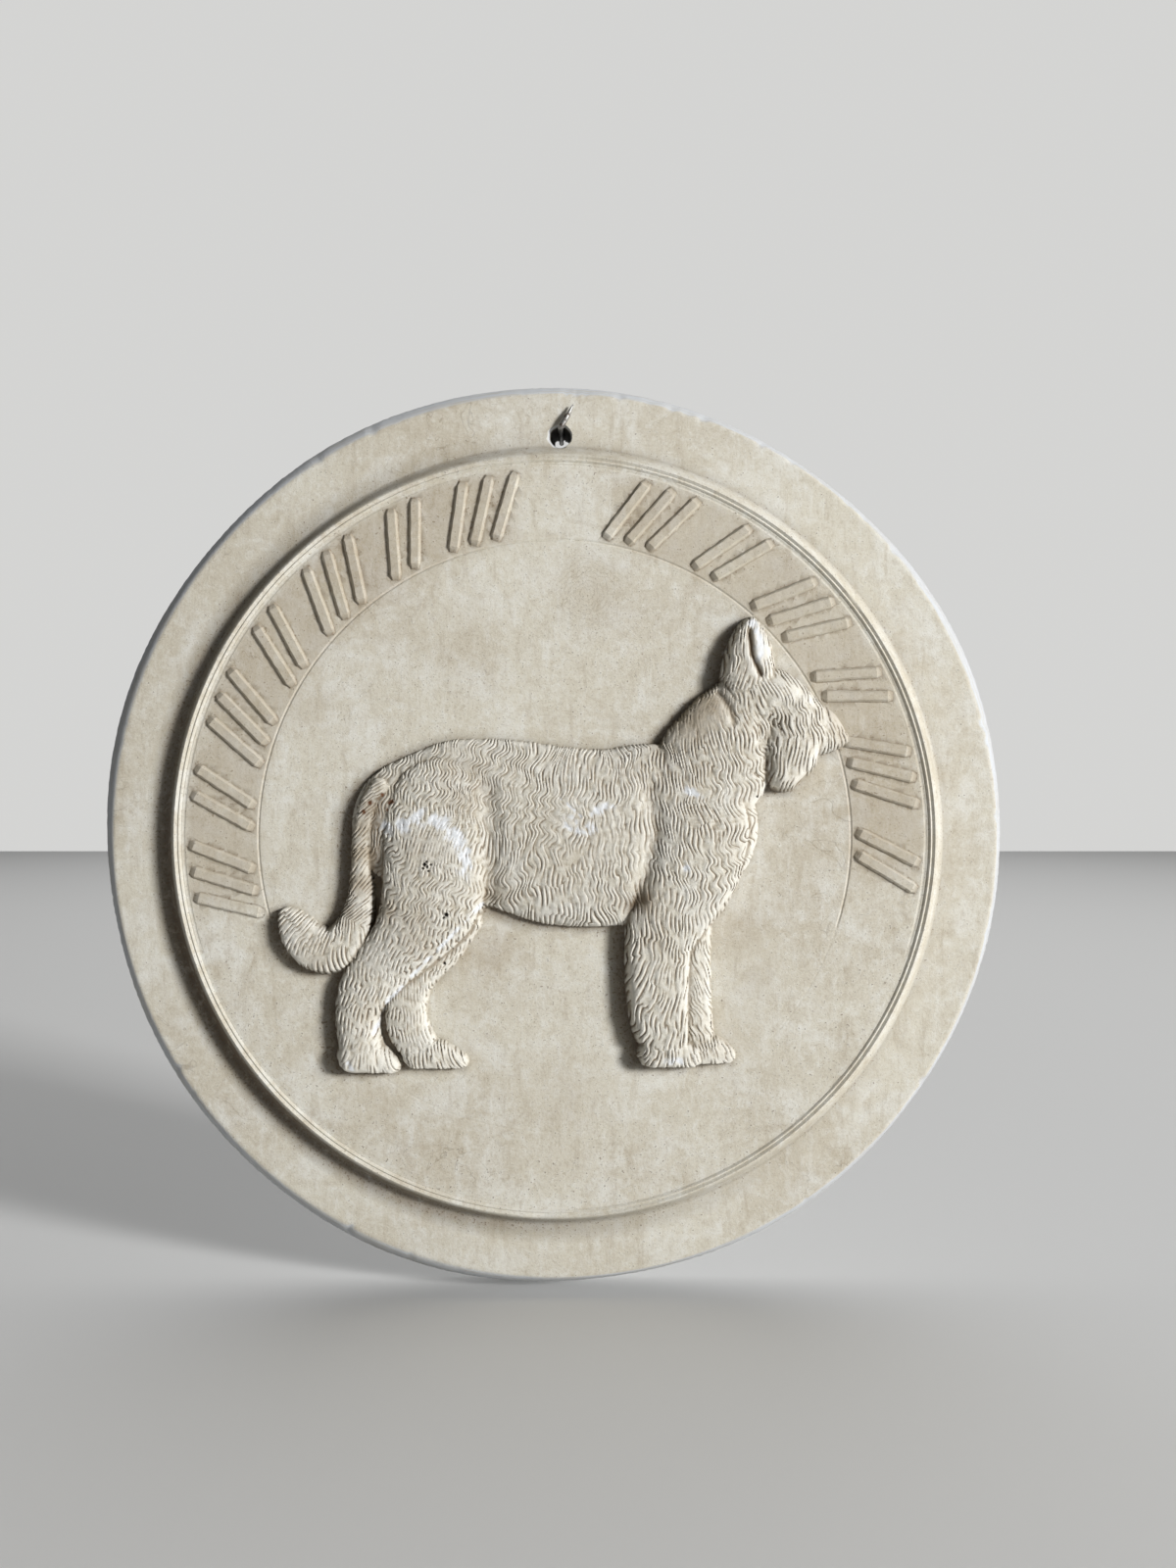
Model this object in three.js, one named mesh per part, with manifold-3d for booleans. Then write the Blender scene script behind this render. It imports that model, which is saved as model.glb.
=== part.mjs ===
// A round plaster wall plaque, cast in one piece: a broad plain rim, a raised field inside a small lip,
// a shaggy dog standing in profile in relief, and a curved row of plain raised strokes above it.
// A hanging hole is bored through the rim at the top, with a bent iron hook in it.
//
// Everything is drawn in the face frame, in millimetres: x to the right, y up, z out of the wall.
// The last lines stand it up, so that z of the part is up and the plaque looks along -y.
import * as THREE from "three";
import { mergeVertices } from "three/addons/utils/BufferGeometryUtils.js";
import Module from "manifold-3d";

const wasm = await Module();
wasm.setup();

// The disc
const WIDEST_RADIUS = 151.5;
const BACK_RADIUS = 149;
const FRONT_RADIUS = 147;
const RIM_THICKNESS = 20;
const WIDEST_DEPTH = 11;
const EDGE_ROUND = 1.2;
const DISC_SEGMENTS = 72;
// The outer edge was trimmed by hand: waves per turn, height in mm and phase in radians
const EDGE_WAVES = [[1, 0.8, 3.14], [3, 0.35, 0.6], [5, 0.3, 2.1], [8, 0.25, 4.0]];

// The step up from the rim, its lip and the field inside it
const STEP_FOOT_RADIUS = 129;
const LIP_RADIUS = 125;
const FIELD_RADIUS = 122.8;
const FIELD_HEIGHT = 25;
const LIP_HEIGHT = FIELD_HEIGHT + 0.9;
const LIP_ROUND = 0.6;
const DISH_DEPTH = 0.8;
const DISH_RINGS = 2;

// The row of raised strokes that stands where an inscription would
const STROKE_INNER_RADIUS = 98;
const STROKE_OUTER_RADIUS = 121;
const STROKE_WIDTH = 4.2;
const STROKE_TOP_WIDTH = 2.4;
const STROKE_HEIGHT = 1.1;
const STROKE_LEAN = THREE.MathUtils.degToRad(25);
const STROKE_PITCH = 8;
// Cells hold these numbers of strokes by turns
const STROKES_IN_CELL = [3, 2];
// Each run of cells: its number of cells, and the angles of its first and last, in degrees from +x
const STROKE_RUNS = [
  { cells: 7, first: 187.8, last: 102.7 },
  { cells: 6, first: 73.4, last: -4.1 },
];

// The hanging hole and its hook
const HOLE_RADIUS = 3.5;
const HOLE_X = 1.8;
const HOLE_Y = 132.7;
const HOLE_SIDES = 20;
const HOOK_RADIUS = 0.8;
const HOOK_SPIKE_RADIUS = 1.25;
const HOOK_TIP_RADIUS = 0.2;
const HOOK_RISE = 7.6;
const HOOK_LEAN = 4.2;
const HOOK_BEND = 1.2;
const HOOK_BOW = 0.4;
const HOOK_SIDES = 8;
const HOOK_STEPS = 16;
const HOOK_GAP = 0.3;

// How the relief is swept: its foot is sunk in the disc, and its edge is a low wall under the dome
const SUNK_DEPTH = 3;
const WALL_SHARE = 0.3;
const DOME_POWER = 0.85;
const CAP_RINGS = 2;
const CAP_END_ANGLE = THREE.MathUtils.degToRad(78);
const LOCK_HEIGHT = 0.7;
const LOCK_SPACING = 6;
const LOCK_WAVE_LENGTH = 28;
const LOCK_WAVE = 0.28;

// The dog's forms, each a spine of stations: x, y, half width and height above the field.
// `fall` says how the coat lies: "across" the spine, as on the flank, or "along" it, as on the legs.
// `caps` are the lengths of the rounded ends, in half widths.
// Sections stand square to the spine, or `upright` on the trunk, where the spine is nearly level.
const FORMS = {
  trunk: {
    stations: [
      [-46, 4, 21, 5.5], [-30, 5, 26.5, 6.6], [-14, 3.6, 27.4, 7.4], [2, 0, 29, 8],
      [18, -0.5, 28.8, 8], [32, 3, 27, 8], [43, 3, 24, 7.5],
    ],
    caps: [0.5, 0.98], fall: "across", upright: true, rings: 66, points: 9,
  },
  neck: {
    stations: [[45, 14, 17, 7.2], [51, 25, 16.5, 8], [56.5, 34, 14.6, 8.2], [61, 42, 11, 7.4]],
    caps: [0.3, 0.5], fall: "along", rings: 6, points: 15,
  },
  far_hind_leg: {
    stations: [
      [-29, -27, 5, 3.4], [-37, -37, 6, 3.8], [-45, -46, 5.4, 4], [-48.5, -55, 6, 4.2],
      [-48, -63, 6.3, 4.4], [-44.5, -69, 5.6, 4.6],
    ],
    caps: [0.6, 0.5], fall: "along", rings: 9, points: 7,
  },
  far_hind_paw: {
    stations: [[-45, -71.4, 4.6, 4.6], [-38, -71.8, 4.2, 4.6], [-31.5, -73.6, 2.4, 3.6]],
    caps: [0.9, 1.1], fall: "across", rings: 7, points: 5,
  },
  far_foreleg: {
    stations: [[46, -26, 6, 4.8], [46.2, -40, 5, 4.8], [46.6, -54, 4.9, 4.8], [47.4, -65, 5, 5]],
    caps: [0.6, 0.6], fall: "along", rings: 6, points: 7,
  },
  far_forepaw: {
    stations: [[47, -70.4, 4.2, 5.2], [52, -70.4, 4, 5], [56.4, -71.8, 2.4, 3.8]],
    caps: [0.8, 1], fall: "across", rings: 7, points: 5,
  },
  hind_leg: {
    stations: [
      [-38.4, 10, 16.4, 7.6], [-39, 0, 18.2, 9], [-39.3, -11, 18, 9.2], [-41.5, -22, 16, 9],
      [-47.5, -32, 12.4, 8.4], [-54.2, -40.5, 9.6, 7.6], [-61, -48.6, 8.4, 7], [-64.2, -56.5, 6.7, 6.6],
      [-64.2, -64.5, 6.3, 6.6], [-63, -70.5, 6.6, 7],
    ],
    caps: [0.55, 0.5], fall: "along", rings: 17, points: 17,
  },
  hind_paw: {
    stations: [[-65.6, -72.2, 4.7, 7.2], [-60, -72.4, 4.6, 7.2], [-53.6, -74.6, 2.6, 5.4]],
    caps: [0.9, 1], fall: "across", rings: 7, points: 5,
  },
  tail: {
    stations: [
      [-56.5, 17, 2.8, 5], [-61, 9, 2.8, 5], [-63, 0, 2.5, 4.8], [-63.4, -11, 2.6, 4.8],
      [-63.6, -21, 3.5, 5], [-66.2, -31, 5.4, 5.4], [-72.4, -37.4, 6.7, 5.8], [-79.6, -36.4, 7, 5.8],
      [-85, -31.6, 6.2, 5.4], [-88.4, -27.2, 3.6, 4.6], [-90.2, -24, 1, 3.4],
    ],
    caps: [0.6, 0.5], fall: "across", rings: 40, points: 5,
  },
  foreleg: {
    stations: [
      [46.5, 15, 13, 7.8], [47.5, 2, 15.6, 9], [44.5, -11, 14.6, 9], [39, -23, 12.4, 8.4],
      [35.6, -34, 9.8, 7.8], [34.6, -47, 9, 7.6], [35, -58, 8.6, 7.6], [37, -67, 7, 7.4],
    ],
    caps: [0.5, 0.4], fall: "along", rings: 15, points: 15,
  },
  forepaw: {
    stations: [[32.6, -71, 4.3, 7.4], [38.5, -70.6, 4.6, 7.6], [44.6, -71.6, 3.6, 6.4]],
    caps: [1, 0.9], fall: "across", rings: 8, points: 5,
  },
  head: {
    stations: [
      [62.5, 45.6, 9.4, 8.4], [71, 45, 9.8, 8.8], [79.5, 41.2, 8.9, 7.6],
      [87.5, 35.6, 4.9, 5.4], [93.8, 33, 3.4, 3.2],
    ],
    caps: [0.8, 0.8], fall: "across", rings: 18, points: 9,
  },
  beard: {
    stations: [[84, 36.5, 9, 6.8], [80.6, 28.6, 10.2, 8], [76, 21, 6.6, 7.2]],
    caps: [0.4, 0.8], fall: "along", rings: 6, points: 15,
  },
  ear: {
    stations: [[63.8, 52, 7.2, 8.8], [63.4, 60, 5.9, 8], [63.3, 66, 3.6, 6.6], [63.4, 71, 0.9, 4.6]],
    caps: [0.3, 0.4], fall: "along", rings: 6, points: 11,
  },
};
// The flat ground under the paws: near feet stand lower in the picture than far ones
const SOLES = { far_hind_paw: -76, far_forepaw: -74.2, hind_paw: -77.4, forepaw: -75.2 };

const plaster = new THREE.MeshStandardMaterial({ color: 0xcfc4ad, roughness: 0.85, metalness: 0 });
plaster.name = "plaster";
const iron = new THREE.MeshStandardMaterial({ color: 0x3a3833, roughness: 0.45, metalness: 0.9 });
iron.name = "iron";

// A closed solid from a geometry: shared vertices are merged and faces that collapsed are dropped.
function solidOf(geometry) {
  const bare = new THREE.BufferGeometry();
  bare.setAttribute("position", geometry.getAttribute("position"));
  bare.setIndex(geometry.getIndex());
  const merged = mergeVertices(bare, 1e-4);
  const corners = merged.getIndex().array;
  const kept = [];
  for (let i = 0; i < corners.length; i += 3) {
    const [a, b, c] = corners.slice(i, i + 3);
    if (a !== b && b !== c && c !== a) kept.push(a, b, c);
  }
  const vertProperties = new Float32Array(merged.getAttribute("position").array);
  return new wasm.Manifold(new wasm.Mesh({ numProp: 3, vertProperties, triVerts: new Uint32Array(kept) }));
}

// A solid back as a geometry to draw.
function geometryOf(solid) {
  const { vertProperties, triVerts } = solid.getMesh();
  const geometry = new THREE.BufferGeometry();
  geometry.setAttribute("position", new THREE.BufferAttribute(vertProperties, 3));
  geometry.setIndex(new THREE.BufferAttribute(triVerts, 1));
  geometry.computeVertexNormals();
  return geometry;
}

// Height of the dished field at a distance from the centre.
function fieldHeight(radius) {
  const share = Math.min(radius / FIELD_RADIUS, 1);
  return FIELD_HEIGHT - DISH_DEPTH * (1 - share * share);
}

// The disc: a turned profile, from the middle of the back round the edge to the middle of the field.
// The widest part and the back carry the waves of the hand-trimmed edge.
function discSolid() {
  const profile = [
    [0, 0], [BACK_RADIUS - EDGE_ROUND, 0], [BACK_RADIUS, EDGE_ROUND], [WIDEST_RADIUS, WIDEST_DEPTH],
    [FRONT_RADIUS + EDGE_ROUND, RIM_THICKNESS - EDGE_ROUND], [FRONT_RADIUS, RIM_THICKNESS],
    [STEP_FOOT_RADIUS, RIM_THICKNESS], [LIP_RADIUS + LIP_ROUND, LIP_HEIGHT - LIP_ROUND / 2],
    [LIP_RADIUS, LIP_HEIGHT],
  ];
  for (let ring = DISH_RINGS; ring >= 0; ring--) {
    const radius = (FIELD_RADIUS * ring) / DISH_RINGS;
    profile.push([radius, fieldHeight(radius)]);
  }
  const points = profile.map(([radius, height]) => new THREE.Vector2(radius, height));
  const turned = new THREE.LatheGeometry(points, DISC_SEGMENTS).rotateX(Math.PI / 2);
  const place = turned.getAttribute("position");
  for (let i = 0; i < place.count; i++) {
    const [x, y, z] = [place.getX(i), place.getY(i), place.getZ(i)];
    const radius = Math.hypot(x, y);
    if (z > RIM_THICKNESS - EDGE_ROUND / 2 || radius < BACK_RADIUS - 2 * EDGE_ROUND) continue;
    const angle = Math.atan2(y, x);
    const waves = EDGE_WAVES.map(([turns, size, phase]) => size * Math.cos(turns * angle - phase));
    const wave = waves.reduce((sum, one) => sum + one);
    const grown = (radius + wave) / radius;
    place.setXY(i, x * grown, y * grown);
  }
  return solidOf(turned);
}

// One lock of the coat: a rounded ridge, repeated across the fall of the hair and swaying along it.
function lockHeight(acrossHair, alongHair) {
  const sway = LOCK_WAVE * Math.sin((2 * Math.PI * alongHair) / LOCK_WAVE_LENGTH + acrossHair / LOCK_SPACING);
  return LOCK_HEIGHT * Math.abs(Math.sin(Math.PI * (acrossHair / LOCK_SPACING + sway)));
}

// A closed loft from rings of points: quads between rings, and a fan over each end.
function loftGeometry(rings) {
  const size = rings[0].length;
  const places = rings.flat();
  const index = [];
  for (let r = 0; r + 1 < rings.length; r++) {
    for (let p = 0; p < size; p++) {
      const [a, b] = [r * size + p, r * size + ((p + 1) % size)];
      index.push(a, b, a + size, b, b + size, a + size);
    }
  }
  const fan = (ring, first, turned) => {
    const middle = ring.reduce((sum, v) => sum.add(v), new THREE.Vector3()).divideScalar(size);
    places.push(middle);
    const hub = places.length - 1;
    for (let p = 0; p < size; p++) {
      const [a, b] = [first + p, first + ((p + 1) % size)];
      index.push(hub, ...(turned ? [a, b] : [b, a]));
    }
  };
  fan(rings[0], 0, false);
  fan(rings.at(-1), (rings.length - 1) * size, true);
  return new THREE.BufferGeometry().setFromPoints(places).setIndex(index);
}

// One form of the dog: a low wall and a dome over it, swept along the spine, with rounded ends.
function formSolid({ stations, caps, fall, upright, rings, points }, soleHeight) {
  const spine = new THREE.CatmullRomCurve3(stations.map(([x, y]) => new THREE.Vector3(x, y, 0)));
  const sizes = stations.map(([, , width, height]) => new THREE.Vector3(width, height, 0));
  const section = new THREE.CatmullRomCurve3(sizes);
  const steps = [];
  const length = spine.getLength();
  const addCap = (end, capLength, outward) => {
    for (let k = 1; k <= CAP_RINGS; k++) {
      const angle = (CAP_END_ANGLE * k) / CAP_RINGS;
      const step = { t: end, ahead: outward * capLength * Math.sin(angle), shrink: Math.cos(angle) };
      outward < 0 ? steps.unshift(step) : steps.push(step);
    }
  };
  for (let r = 0; r <= rings; r++) steps.push({ t: r / rings, ahead: 0, shrink: 1 });
  addCap(0, caps[0] * stations[0][2], -1);
  addCap(1, caps[1] * stations.at(-1)[2], 1);

  const loops = steps.map(({ t, ahead, shrink }) => {
    const centre = spine.getPoint(t);
    const forward = upright ? new THREE.Vector3(1, 0, 0) : spine.getTangent(t);
    const left = new THREE.Vector3(-forward.y, forward.x, 0);
    const { x: width, y: height } = section.getPoint(t);
    const base = fieldHeight(Math.hypot(centre.x, centre.y));
    const place = (side, rise) => {
      const point = centre.clone().addScaledVector(forward, ahead);
      point.addScaledVector(left, side * width * shrink);
      if (soleHeight !== undefined) point.y = Math.max(point.y, soleHeight);
      return point.setZ(base + rise);
    };
    const loop = [place(1, -SUNK_DEPTH)];
    for (let p = 0; p <= points; p++) {
      const angle = (Math.PI * p) / points;
      const side = Math.cos(angle);
      const dome = WALL_SHARE + (1 - WALL_SHARE) * shrink * Math.sin(angle) ** DOME_POWER;
      const alongSpine = t * length + ahead;
      const acrossSpine = side * width;
      const [acrossHair, alongHair] = fall === "along" ? [acrossSpine, alongSpine] : [alongSpine, acrossSpine];
      const lock = lockHeight(acrossHair, alongHair);
      loop.push(place(side, height * dome + lock * Math.sin(angle)));
    }
    loop.push(place(-1, -SUNK_DEPTH));
    return loop;
  });
  return solidOf(loftGeometry(loops));
}

// A raised stroke: a bar with sloping sides, laid along a line that leans from the radius at its middle.
function strokeSolid(angle, radius, length) {
  const half = STROKE_WIDTH / 2;
  const top = STROKE_TOP_WIDTH / 2;
  const outline = [
    [-half, -SUNK_DEPTH], [half, -SUNK_DEPTH], [half, 0], [top, STROKE_HEIGHT], [-top, STROKE_HEIGHT], [-half, 0],
  ];
  const section = new THREE.Shape(outline.map(([x, y]) => new THREE.Vector2(x, y)));
  const bar = new THREE.ExtrudeGeometry(section, { depth: length, bevelEnabled: false });
  bar.translate(0, 0, -length / 2).rotateX(Math.PI / 2).rotateZ(angle - Math.PI / 2 - STROKE_LEAN);
  bar.translate(radius * Math.cos(angle), radius * Math.sin(angle), fieldHeight(radius));
  return solidOf(bar);
}

// The row: cells of leaning strokes, all alike and all leaning the same way, so that they spell nothing.
function strokeSolids() {
  const middle = (STROKE_OUTER_RADIUS + STROKE_INNER_RADIUS) / 2;
  const reach = STROKE_OUTER_RADIUS - STROKE_INNER_RADIUS;
  const length = (reach - STROKE_WIDTH * Math.sin(STROKE_LEAN)) / Math.cos(STROKE_LEAN);
  const strokes = [];
  for (const { cells, first, last } of STROKE_RUNS) {
    for (let cell = 0; cell < cells; cell++) {
      const centre = THREE.MathUtils.degToRad(first + ((last - first) * cell) / (cells - 1));
      const count = STROKES_IN_CELL[cell % STROKES_IN_CELL.length];
      for (let i = 0; i < count; i++) {
        const offset = (i - (count - 1) / 2) * STROKE_PITCH;
        strokes.push(strokeSolid(centre - offset / middle, middle, length));
      }
    }
  }
  return strokes;
}

// The whole casting: the disc with the dog and the strokes on it, and the hanging hole bored through.
function plaqueGeometry() {
  let casting = discSolid();
  for (const [name, form] of Object.entries(FORMS)) casting = casting.add(formSolid(form, SOLES[name]));
  for (const stroke of strokeSolids()) casting = casting.add(stroke);
  const bore = new THREE.CylinderGeometry(HOLE_RADIUS, HOLE_RADIUS, 3 * RIM_THICKNESS, HOLE_SIDES);
  bore.rotateX(Math.PI / 2).translate(HOLE_X, HOLE_Y, 0);
  return geometryOf(casting.subtract(solidOf(bore)));
}

// The hook: a round iron shank out of the wall through the top of the hole, bent up in front of the rim
// into a leaning spike. It is cut off flat at the wall.
function hookGeometry() {
  const shankY = HOLE_Y + HOLE_RADIUS - HOOK_GAP - HOOK_RADIUS;
  const front = RIM_THICKNESS + HOOK_GAP + HOOK_SPIKE_RADIUS;
  // Each stop along the hook: share of the lean, share of the rise, distance from the wall and radius
  const stops = [
    [0, 0, 0, HOOK_RADIUS],
    [0, 0, front / 2, HOOK_RADIUS],
    [0, 0, front - 2 * HOOK_BEND, HOOK_RADIUS],
    [0, 0, front - HOOK_BEND, HOOK_RADIUS],
    [0.1, 0.1, front, HOOK_SPIKE_RADIUS],
    [0.55, 0.5, front + HOOK_BOW, 0.8 * HOOK_SPIKE_RADIUS],
    [1, 1, front, HOOK_TIP_RADIUS],
  ];
  const placeOf = ([lean, rise, out]) =>
    new THREE.Vector3(HOLE_X + lean * HOOK_LEAN, shankY + rise * HOOK_RISE, out);
  const path = new THREE.CatmullRomCurve3(stops.map(placeOf));
  const { normals, binormals } = path.computeFrenetFrames(HOOK_STEPS, false);
  const loops = [];
  for (let s = 0; s <= HOOK_STEPS; s++) {
    const t = s / HOOK_STEPS;
    const station = t * (stops.length - 1);
    const low = Math.min(Math.floor(station), stops.length - 2);
    const radius = THREE.MathUtils.lerp(stops[low][3], stops[low + 1][3], station - low);
    const loop = [];
    for (let k = 0; k < HOOK_SIDES; k++) {
      const angle = (2 * Math.PI * k) / HOOK_SIDES;
      const point = path.getPoint(t);
      point.addScaledVector(normals[s], radius * Math.cos(angle));
      point.addScaledVector(binormals[s], radius * Math.sin(angle));
      loop.push(point);
    }
    loops.push(loop);
  }
  return loftGeometry(loops);
}

// The part, stood up against the wall
const part = new THREE.Group();
const plaque = new THREE.Mesh(plaqueGeometry(), plaster);
plaque.name = "plaque";
const hook = new THREE.Mesh(hookGeometry(), iron);
hook.name = "hanging_hook";
part.add(plaque, hook);
part.children.forEach((mesh) => mesh.rotation.set(Math.PI / 2, 0, 0));

export default part;
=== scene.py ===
import math
from functools import partial

import bpy
import numpy as np
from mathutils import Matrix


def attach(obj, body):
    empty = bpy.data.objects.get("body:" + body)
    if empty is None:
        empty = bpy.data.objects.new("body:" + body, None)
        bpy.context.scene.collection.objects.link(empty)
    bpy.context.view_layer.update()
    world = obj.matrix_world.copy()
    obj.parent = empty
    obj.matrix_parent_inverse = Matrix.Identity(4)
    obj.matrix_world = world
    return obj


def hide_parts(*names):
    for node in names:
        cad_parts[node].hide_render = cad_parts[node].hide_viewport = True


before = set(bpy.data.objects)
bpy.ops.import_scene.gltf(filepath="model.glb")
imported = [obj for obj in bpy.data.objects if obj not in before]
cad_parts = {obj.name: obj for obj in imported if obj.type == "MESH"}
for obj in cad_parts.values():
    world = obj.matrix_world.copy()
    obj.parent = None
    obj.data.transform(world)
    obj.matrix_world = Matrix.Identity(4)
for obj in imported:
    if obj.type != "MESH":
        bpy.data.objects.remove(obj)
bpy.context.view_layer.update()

# The disc: plaster poured into a round mould, with a plain rim, a step up to a thin double lip, and a
# faintly dished field inside it. Its outer edge was trimmed by hand, so it is wavy, raw and chipped.
# The dog and the row of strokes are cast with it, and are joined to it further down.
MM = 0.001
FINE_TURN = 720
BACK_RADIUS = 149.0
WIDEST_RADIUS = 151.3
FRONT_RADIUS = 147.0
RIM_THICKNESS = 20.0
WIDEST_DEPTH = 11.0
STEP_FOOT_RADIUS = 129.0
LIP_RADIUS = 125.0
LIP_HEIGHT = 25.9
FIELD_RADIUS = 122.8
FIELD_HEIGHT = 25.0
DISH_DEPTH = 0.8
GUIDE_RADII = (121.9, 97.4)
GUIDE_DEPTH = 0.28
GUIDE_HALF_WIDTH = 0.55
STROKE_BAND_RINGS = (119.2, 116.0, 112.0, 108.0, 104.0, 100.0)
# Waves of the hand-trimmed edge: waves per turn, height in mm and phase in radians
EDGE_WAVES = ((1, 0.8, 3.14), (3, 0.35, 0.6), (5, 0.3, 2.1), (8, 0.25, 4.0))
CHIP_COUNT = 70
CHIP_DEPTH = 1.0
LIP_CHIPS = ((-92.0, 1.3, 0.7), (38.0, 0.8, 0.4), (151.0, 0.9, 0.4))

chance = np.random.default_rng(11)


def placed(x, w, z):
    """Points in metres from face sizes in mm: x to the right, w out of the wall, z up."""
    return np.stack(np.broadcast_arrays(x, -w, z), axis=-1).reshape(-1, 3) * MM


def field_height(radius):
    """Height of the dished field: a shallow parabola that is deepest in the middle."""
    share = np.minimum(radius / FIELD_RADIUS, 1.0)
    return FIELD_HEIGHT - DISH_DEPTH * (1 - share ** 2)


def new_object(name, points, *face_sets):
    """An object from an array of points and arrays of faces, each array all triangles or all quads."""
    corners = np.concatenate([faces.ravel() for faces in face_sets])
    sizes = np.concatenate([np.full(len(faces), faces.shape[1]) for faces in face_sets])
    mesh = bpy.data.meshes.new(name)
    mesh.vertices.add(len(points))
    mesh.vertices.foreach_set("co", np.ascontiguousarray(points, np.float32).ravel())
    mesh.loops.add(len(corners))
    mesh.loops.foreach_set("vertex_index", corners.astype(np.int32))
    mesh.polygons.add(len(sizes))
    mesh.polygons.foreach_set("loop_start", (np.cumsum(sizes) - sizes).astype(np.int32))
    mesh.update(calc_edges=True)
    made = bpy.data.objects.new(name, mesh)
    bpy.context.scene.collection.objects.link(made)
    return made


def band_faces(first, second, count):
    """Quads between two rings of `count` points, whose first points are given."""
    here = np.arange(count)
    after = (here + 1) % count
    return np.stack([first + here, first + after, second + after, second + here], axis=1)


def chip_line(turn):
    """Depth of the edge's chips round the turn, 0 to 1: bumps at seeded places, most at the upper right."""
    crowded = np.deg2rad(chance.normal(60, 38, CHIP_COUNT // 2))
    spread = chance.uniform(0, 2 * np.pi, CHIP_COUNT - len(crowded))
    centres = np.concatenate([crowded, spread])
    widths = np.deg2rad(chance.uniform(0.3, 0.9, CHIP_COUNT))
    depths = chance.uniform(0.1, 1.0, CHIP_COUNT) ** 3
    apart = np.abs((turn[:, None] - centres + np.pi) % (2 * np.pi) - np.pi)
    return (depths * np.clip(1 - (apart / widths) ** 2, 0, 1)).max(axis=1)


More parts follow.
